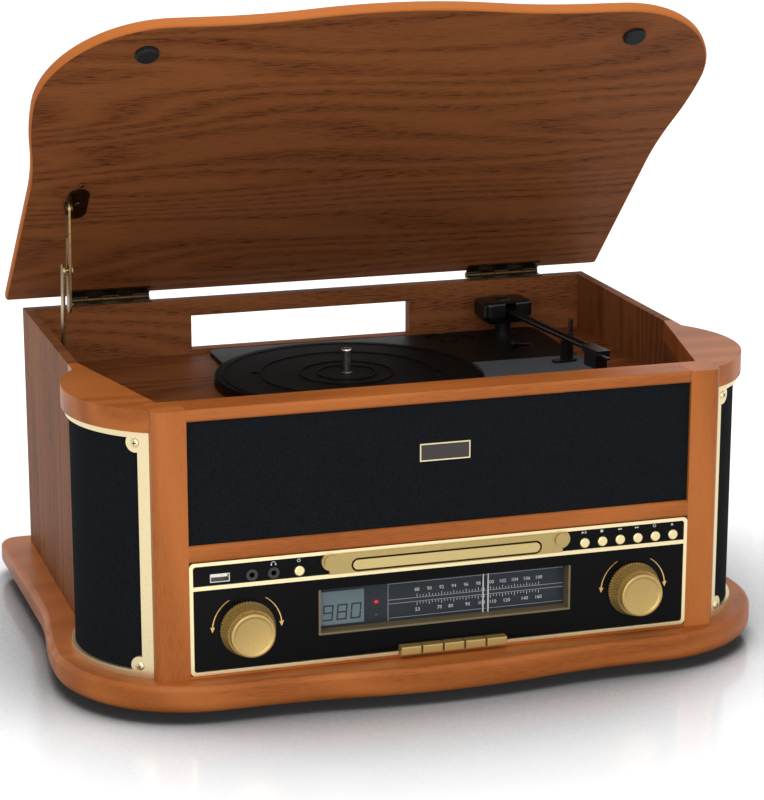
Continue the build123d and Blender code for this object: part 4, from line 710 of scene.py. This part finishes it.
class RP_OT_knobs(bpy.types.Operator):
    """Ribbed cones and dished caps of the two big knobs"""
    bl_idname = "record_player.knobs"
    bl_label = "Knobs"

    def execute(self, context):
        for name, x in (("volume_knob", -KNOB_X), ("tuning_knob", KNOB_X)):
            foot = place_on(x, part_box(name)[0][1] / MM + KNOB_LENGTH, KNOB_Z)
            body = body_of(NODES[name])[0]
            cone = bmesh.new()
            ribbed(cone, KNOB_CONE, KNOB_RIBS, foot)
            piece(name + "_cone", cone, MATERIALS["knob_gold"], body)
            cap = bmesh.new()
            lathe(cap, KNOB_CAP, foot, steps=64)
            made = piece(name + "_cap", cap, MATERIALS["knob_gold"], body, smooth=True)
            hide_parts(name)
        return {"FINISHED"}


class RP_OT_arm(bpy.types.Operator):
    """Cover and boss of the arm's pivot head"""
    bl_idname = "record_player.arm"
    bl_label = "Arm details"

    def execute(self, context):
        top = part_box("arm_head")[1][2] / MM
        turn = Matrix.Rotation(ARM_TURN, 4, "Z")
        plane = Matrix.Translation((ARM_PIVOT + Vector((0, 0, top - 1.3))) * MM) @ turn
        head = body_of(NODES["arm_head"])[0]
        cover = bmesh.new()
        slab(cover, -6.7, 12.0, -4.6, 4.6, plane, thick=1.2)
        piece("head_cover", cover, MATERIALS["satin_black"], head)
        boss = bmesh.new()
        lathe(boss, HEAD_BOSS, plane, steps=48)
        piece("head_boss", boss, MATERIALS["satin_black"], head, smooth=True)
        return {"FINISHED"}


class RP_OT_screws(bpy.types.Operator):
    """Screws of the columns, the stay and the rear panel"""
    bl_idname = "record_player.screws"
    bl_label = "Screws"

    def execute(self, context):
        s = context.scene.player_fitting
        # The slot colour is painted shade in the screw grooves.
        dark = MATERIALS["dark"]
        column = []
        for side in (-1, 1):
            for z in COLUMN_SCREW_LEVELS:
                out = Vector((side * math.cos(COLUMN_SCREW_ANGLE), math.sin(COLUMN_SCREW_ANGLE), 0))
                at = Vector((side * LOBE_X, LOBE_Y, z)) + out * COLUMN_FRAME_RADIUS
                column.append((tuple(at), tuple(out), (0, 0, 1)))
        screw_heads("column_screws", column, s.column_screw, MATERIALS["gold"], dark)
        under = Vector((0, -math.sin(LID_OPEN), -math.cos(LID_OPEN)))
        along = Vector((0, -math.cos(LID_OPEN), math.sin(LID_OPEN)))
        lid_screws = []
        leaf_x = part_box("stay_lid_bracket")[1][0] / MM - LEAF_WIDTH / 2
        for reach in (LEAF_REACH - 11.5, LEAF_REACH + 11.5):
            at = HINGE + along * reach + (-under) * (LID_UNDER - 1.6)
            lid_screws.append(((leaf_x, at.y, at.z), tuple(under), (1, 0, 0)))
        screw_heads("stay_lid_screws", lid_screws, s.hinge_screw, MATERIALS["dull_steel"], dark,
                    body="lid_body")
        wall = [((-215.4, 79 + dy, 182), (1, 0, 0), (0, 0, 1)) for dy in (-10.5, 10.5)]
        screw_heads("stay_wall_screws", wall, s.hinge_screw, MATERIALS["dull_steel"], dark)
        rear = [((x, 170.5, z), (0, 1, 0), (0, 0, 1)) for x in (-112, 112) for z in (48, 106)]
        screw_heads("rear_panel_screws", rear, s.hinge_screw, MATERIALS["steel"], dark)
        return {"FINISHED"}


class RP_OT_badge(bpy.types.Operator):
    """Bare plate in the middle of the grille"""
    bl_idname = "record_player.badge"
    bl_label = "Bare plate"

    def execute(self, context):
        s = context.scene.player_fitting
        half_w = s.badge_width / MM / 2
        half_h = s.badge_height / MM / 2
        matrix = place_on(0, FRONT + 2.5, 167.0)
        rim = bmesh.new()
        for x0, x1, y0, y1 in ((-half_w, half_w, half_h - 0.9, half_h),
                               (-half_w, half_w, -half_h, -half_h + 0.9),
                               (-half_w, -half_w + 0.9, -half_h + 0.9, half_h - 0.9),
                               (half_w - 0.9, half_w, -half_h + 0.9, half_h - 0.9)):
            slab(rim, x0, x1, y0, y1, matrix, thick=1.1)
        bmesh.ops.bevel(rim, geom=rim.edges[:], offset=0.00015, segments=1, affect="EDGES")
        piece("plate_rim", rim, MATERIALS["gold"])
        plate = bmesh.new()
        slab(plate, -half_w + 0.85, half_w - 0.85, -half_h + 0.85, half_h - 0.85, matrix, thick=0.6)
        piece("plate_field", plate, MATERIALS["brown"])
        return {"FINISHED"}


class RP_OT_dial(bpy.types.Operator):
    """Printed scale, screen figures and lamps of the display"""
    bl_idname = "record_player.dial"
    bl_label = "Dial"

    def execute(self, context):
        s = context.scene.player_print
        white = MATERIALS["ink_white"]
        grey = MATERIALS["ink_grey"]
        matrix = place_on(0, DIAL, 0)
        lines = bmesh.new()
        w = s.line_width / MM / 2
        for z, share in DIAL_LINE_LEVELS:
            slab(lines, DIAL_LEFT, DIAL_RIGHT, z - share * w, z + share * w, matrix, thick=0.05)
        slab(lines, DIAL_LEFT - w, DIAL_LEFT + w, DIAL_FOOT, DIAL_LINE_LEVELS[0][0] + w, matrix, thick=0.05)
        piece("dial_lines", lines, grey)
        tree = row_tree()
        for name, level, grows in (("dial_marks_upper", 64.2, 1.0), ("dial_marks_lower", 60.4, -1.0)):
            row_of_marks(name, tree, white, Count=s.tick_count, Pitch=s.tick_pitch, Height=0.0013,
                         Grows=grows, Start=(SCALE_START * MM, (DIAL - 0.03) * MM, level * MM))
        upper = [(text, SCALE_START + x, 69.3) for text, x in UPPER_FIGURES]
        lower = [(text, SCALE_START + x, 55.2) for text, x in LOWER_FIGURES]
        figures("dial_figures", upper + lower, s.digit_height, matrix, white)
        screen = place_on(0, DIAL - 1.0, 0)
        segments = bmesh.new()
        for lit, x0 in SCREEN_FIGURES:
            self.draw_digit(segments, lit, x0, 53.8, 7.2, 11.0, screen)
        piece("screen_figures", segments, MATERIALS["segment"])
        lens = bmesh.new()
        lathe(lens, [(0, 1.3), (0.9, 1.15), (1.6, 0.75), (2.0, 0.0)], place_on(LAMP_X, DIAL, 63.4), steps=24)
        piece("sensor_lamp", lens, MATERIALS["lamp"], smooth=True)
        small = bmesh.new()
        lathe(small, [(0, 0.6), (0.7, 0.5), (1.1, 0.0)], place_on(LAMP_X, DIAL, 54.1), steps=20)
        piece("power_lamp", small, MATERIALS["smoke"], smooth=True)
        return {"FINISHED"}

    def draw_digit(self, bm, lit, x, z, width, height, matrix):
        """A figure of seven bars."""
        bar, gap, lean = 1.0, 0.25, 0.08
        half = height / 2
        bars = {
            "a": ((x + gap, z + height - bar), (x + width - gap, z + height)),
            "g": ((x + gap, z + half - bar / 2), (x + width - gap, z + half + bar / 2)),
            "d": ((x + gap, z), (x + width - gap, z + bar)),
            "f": ((x, z + half + gap), (x + bar, z + height - gap)),
            "b": ((x + width - bar, z + half + gap), (x + width, z + height - gap)),
            "e": ((x, z + gap), (x + bar, z + half - gap)),
            "c": ((x + width - bar, z + gap), (x + width, z + half - gap)),
        }
        for name in lit:
            (x0, z0), (x1, z1) = bars[name]
            points = [(x0 + lean * (z0 - z), z0), (x1 + lean * (z0 - z), z0),
                      (x1 + lean * (z1 - z), z1), (x0 + lean * (z1 - z), z1)]
            outline_slab(bm, points, matrix, thick=0.05)


class RP_OT_panel_marks(bpy.types.Operator):
    """Arrows round the knobs and plain signs over the buttons"""
    bl_idname = "record_player.panel_marks"
    bl_label = "Panel marks"

    def execute(self, context):
        matrix = place_on(0, PANEL, 0)
        arrows = bmesh.new()
        for x in (-KNOB_X, KNOB_X):
            centre = (x, KNOB_Z)
            for start, end, sign in ((120, 174, 1), (58, 6, -1)):
                arc_band(arrows, centre, ARROW_RADIUS, start, end, 0.9, matrix)
                root, tip = math.radians(end), math.radians(end + sign * ARROW_LEAD)
                corners = ((ARROW_RADIUS - ARROW_HALF_WIDTH, root), (ARROW_RADIUS + ARROW_HALF_WIDTH, root),
                           (ARROW_RADIUS, tip))
                head = [(x + radius * math.cos(turn), KNOB_Z + radius * math.sin(turn))
                        for radius, turn in corners]
                outline_slab(arrows, head, matrix)
        piece("turn_arrows", arrows, MATERIALS["ink_gold"])
        signs = bmesh.new()
        z = SIGN_LEVEL

        def triangle(x, height, direction):
            outline_slab(signs, [(x - direction * 0.55 * height, z - height / 2),
                                 (x - direction * 0.55 * height, z + height / 2),
                                 (x + direction * 0.45 * height, z)], matrix)
        xs = [BUTTON_X + BUTTON_PITCH * i for i in range(6)]
        triangle(xs[0] - 0.6, 1.8, 1)
        for shift in (0.8, 1.5):
            slab(signs, xs[0] + shift - 0.18, xs[0] + shift + 0.18, z - 0.9, z + 0.9, matrix)
        slab(signs, xs[1] - 0.95, xs[1] + 0.95, z - 0.95, z + 0.95, matrix)
        for x, direction in ((xs[2], -1), (xs[3], 1)):
            triangle(x - 0.7, 1.5, direction)
            triangle(x + 0.8, 1.5, direction)
        arc_band(signs, (xs[4], z), 0.95, 40, 330, 0.35, matrix, taper=False)
        triangle(xs[4] + 1.0, 0.9, 1)
        outline_slab(signs, [(xs[5] - 1.0, z - 0.3), (xs[5] + 1.0, z - 0.3), (xs[5], z + 1.0)], matrix)
        slab(signs, xs[5] - 1.0, xs[5] + 1.0, z - 0.95, z - 0.55, matrix)
        arc_band(signs, (-118.2, 100.2), 1.5, 0, 180, 0.4, matrix, taper=False)
        for side in (-1, 1):
            slab(signs, -118.2 + side * 1.5 - 0.4, -118.2 + side * 1.5 + 0.4, 99.2, 100.5, matrix)
        arc_band(signs, (-101.0, 101.0), 1.0, 0, 360, 0.4, matrix, taper=False)
        piece("button_signs", signs, MATERIALS["ink_white"])
        return {"FINISHED"}


class RP_OT_stage(bpy.types.Operator):
    """Floor, lamps, world and camera"""
    bl_idname = "record_player.stage"
    bl_label = "Stage"

    def execute(self, context):
        scene = context.scene
        floor_mesh = bpy.data.meshes.new("floor")
        corners = [(x * FLOOR_REACH, y * FLOOR_REACH, 0) for x, y in ((-1, -1), (1, -1), (1, 1), (-1, 1))]
        floor_mesh.from_pydata(corners, [], [(0, 1, 2, 3)])
        floor = bpy.data.objects.new("floor", floor_mesh)
        scene.collection.objects.link(floor)
        material, tree, surface = shader("white studio floor", Roughness=0.16)
        # Ambient occlusion darkens the floor's colour and its glow near the player: a painted shadow round
        # its foot.
        near = add_node(tree, "ShaderNodeAmbientOcclusion", {"Distance": 0.36}, samples=12).outputs["AO"]
        shade = add_node(tree, "ShaderNodeMapRange", {"Value": near, "From Min": 0.42, "From Max": 1.0,
                         "To Min": 0.03, "To Max": 1.0}, interpolation_type="SMOOTHSTEP").outputs[0]
        path = add_node(tree, "ShaderNodeLightPath")
        seen = maths(tree, "MAXIMUM", path.outputs["Is Camera Ray"], path.outputs["Is Glossy Ray"])
        glow = maths(tree, "MULTIPLY", seen, maths(tree, "MULTIPLY", shade, 0.62))
        base = add_node(tree, "ShaderNodeMix", {0: shade, 6: linear("#1C1C1D"), 7: linear("#D4D4D6")},
                        data_type="RGBA").outputs[2]
        tree.links.new(base, surface.inputs["Base Color"])
        surface.inputs["Emission Color"].default_value = (1, 1, 1, 1)
        tree.links.new(glow, surface.inputs["Emission Strength"])
        floor_mesh.materials.append(material)

        world = bpy.data.worlds.new("studio")
        world.use_nodes = True
        scene.world = world
        tree = world.node_tree
        ground = tree.nodes["Background"]
        ground.inputs["Color"].default_value = (1, 1, 1, 1)
        path = add_node(tree, "ShaderNodeLightPath")
        first = maths(tree, "MAXIMUM", path.outputs["Is Camera Ray"], path.outputs["Is Glossy Ray"])
        clear = maths(tree, "MAXIMUM", first, path.outputs["Is Transmission Ray"])
        level = add_node(tree, "ShaderNodeMapRange",
                         {"Value": clear, "To Min": WORLD_LIGHT, "To Max": 1.0}).outputs[0]
        tree.links.new(level, ground.inputs["Strength"])

        for name, place, size, power in LAMPS:
            lamp = bpy.data.lights.new(name, "AREA")
            lamp.energy = power
            lamp.size = size
            holder = bpy.data.objects.new(name, lamp)
            holder.location = place
            holder.rotation_euler = (LAMP_AIM - Vector(place)).to_track_quat("-Z", "Y").to_euler()
            scene.collection.objects.link(holder)

        azimuth, elevation, roll = (math.radians(angle) for angle in CAMERA_ANGLES)
        look = Vector((-math.sin(azimuth) * math.cos(elevation), math.cos(azimuth) * math.cos(elevation),
                       -math.sin(elevation)))
        lens = bpy.data.cameras.new("camera")
        lens.lens = CAMERA_LENS
        lens.sensor_width = 36.0
        lens.sensor_fit = "AUTO"
        lens.clip_start = 0.05
        camera = bpy.data.objects.new("camera", lens)
        camera.location = Vector(CAMERA_PLACE) * MM
        turn = look.to_track_quat("-Z", "Y").to_matrix().to_4x4() @ Matrix.Rotation(roll, 4, "Z")
        camera.rotation_euler = turn.to_euler()
        scene.collection.objects.link(camera)
        scene.camera = camera
        scene.view_settings.view_transform = "Standard"
        return {"FINISHED"}


STEPS = (RP_OT_finishes, RP_OT_knobs, RP_OT_arm, RP_OT_screws, RP_OT_badge, RP_OT_dial,
         RP_OT_panel_marks, RP_OT_stage)


class RP_PT_panel(bpy.types.Panel):
    """The player's steps and sizes in the sidebar"""
    bl_idname = "RP_PT_panel"
    bl_label = "Record Player"
    bl_space_type = "VIEW_3D"
    bl_region_type = "UI"
    bl_category = "Record Player"

    def draw(self, context):
        for group in (context.scene.player_finish, context.scene.player_print, context.scene.player_fitting):
            box = self.layout.box()
            for name in type(group).__annotations__:
                box.prop(group, name)
        for step in STEPS:
            self.layout.operator(step.bl_idname)


GROUPS = (("player_finish", FinishSettings), ("player_print", PrintSettings),
          ("player_fitting", FittingSettings))


def register():
    for name, group in GROUPS:
        bpy.utils.register_class(group)
        setattr(bpy.types.Scene, name, bpy.props.PointerProperty(type=group))
    for kind in STEPS + (RP_PT_panel,):
        bpy.utils.register_class(kind)


def unregister():
    for kind in reversed(STEPS + (RP_PT_panel,)):
        bpy.utils.unregister_class(kind)
    for name, group in reversed(GROUPS):
        delattr(bpy.types.Scene, name)
        bpy.utils.unregister_class(group)


def main():
    register()
    for step in STEPS:
        family, name = step.bl_idname.split(".")
        getattr(getattr(bpy.ops, family), name)()


if __name__ == "__main__":
    main()
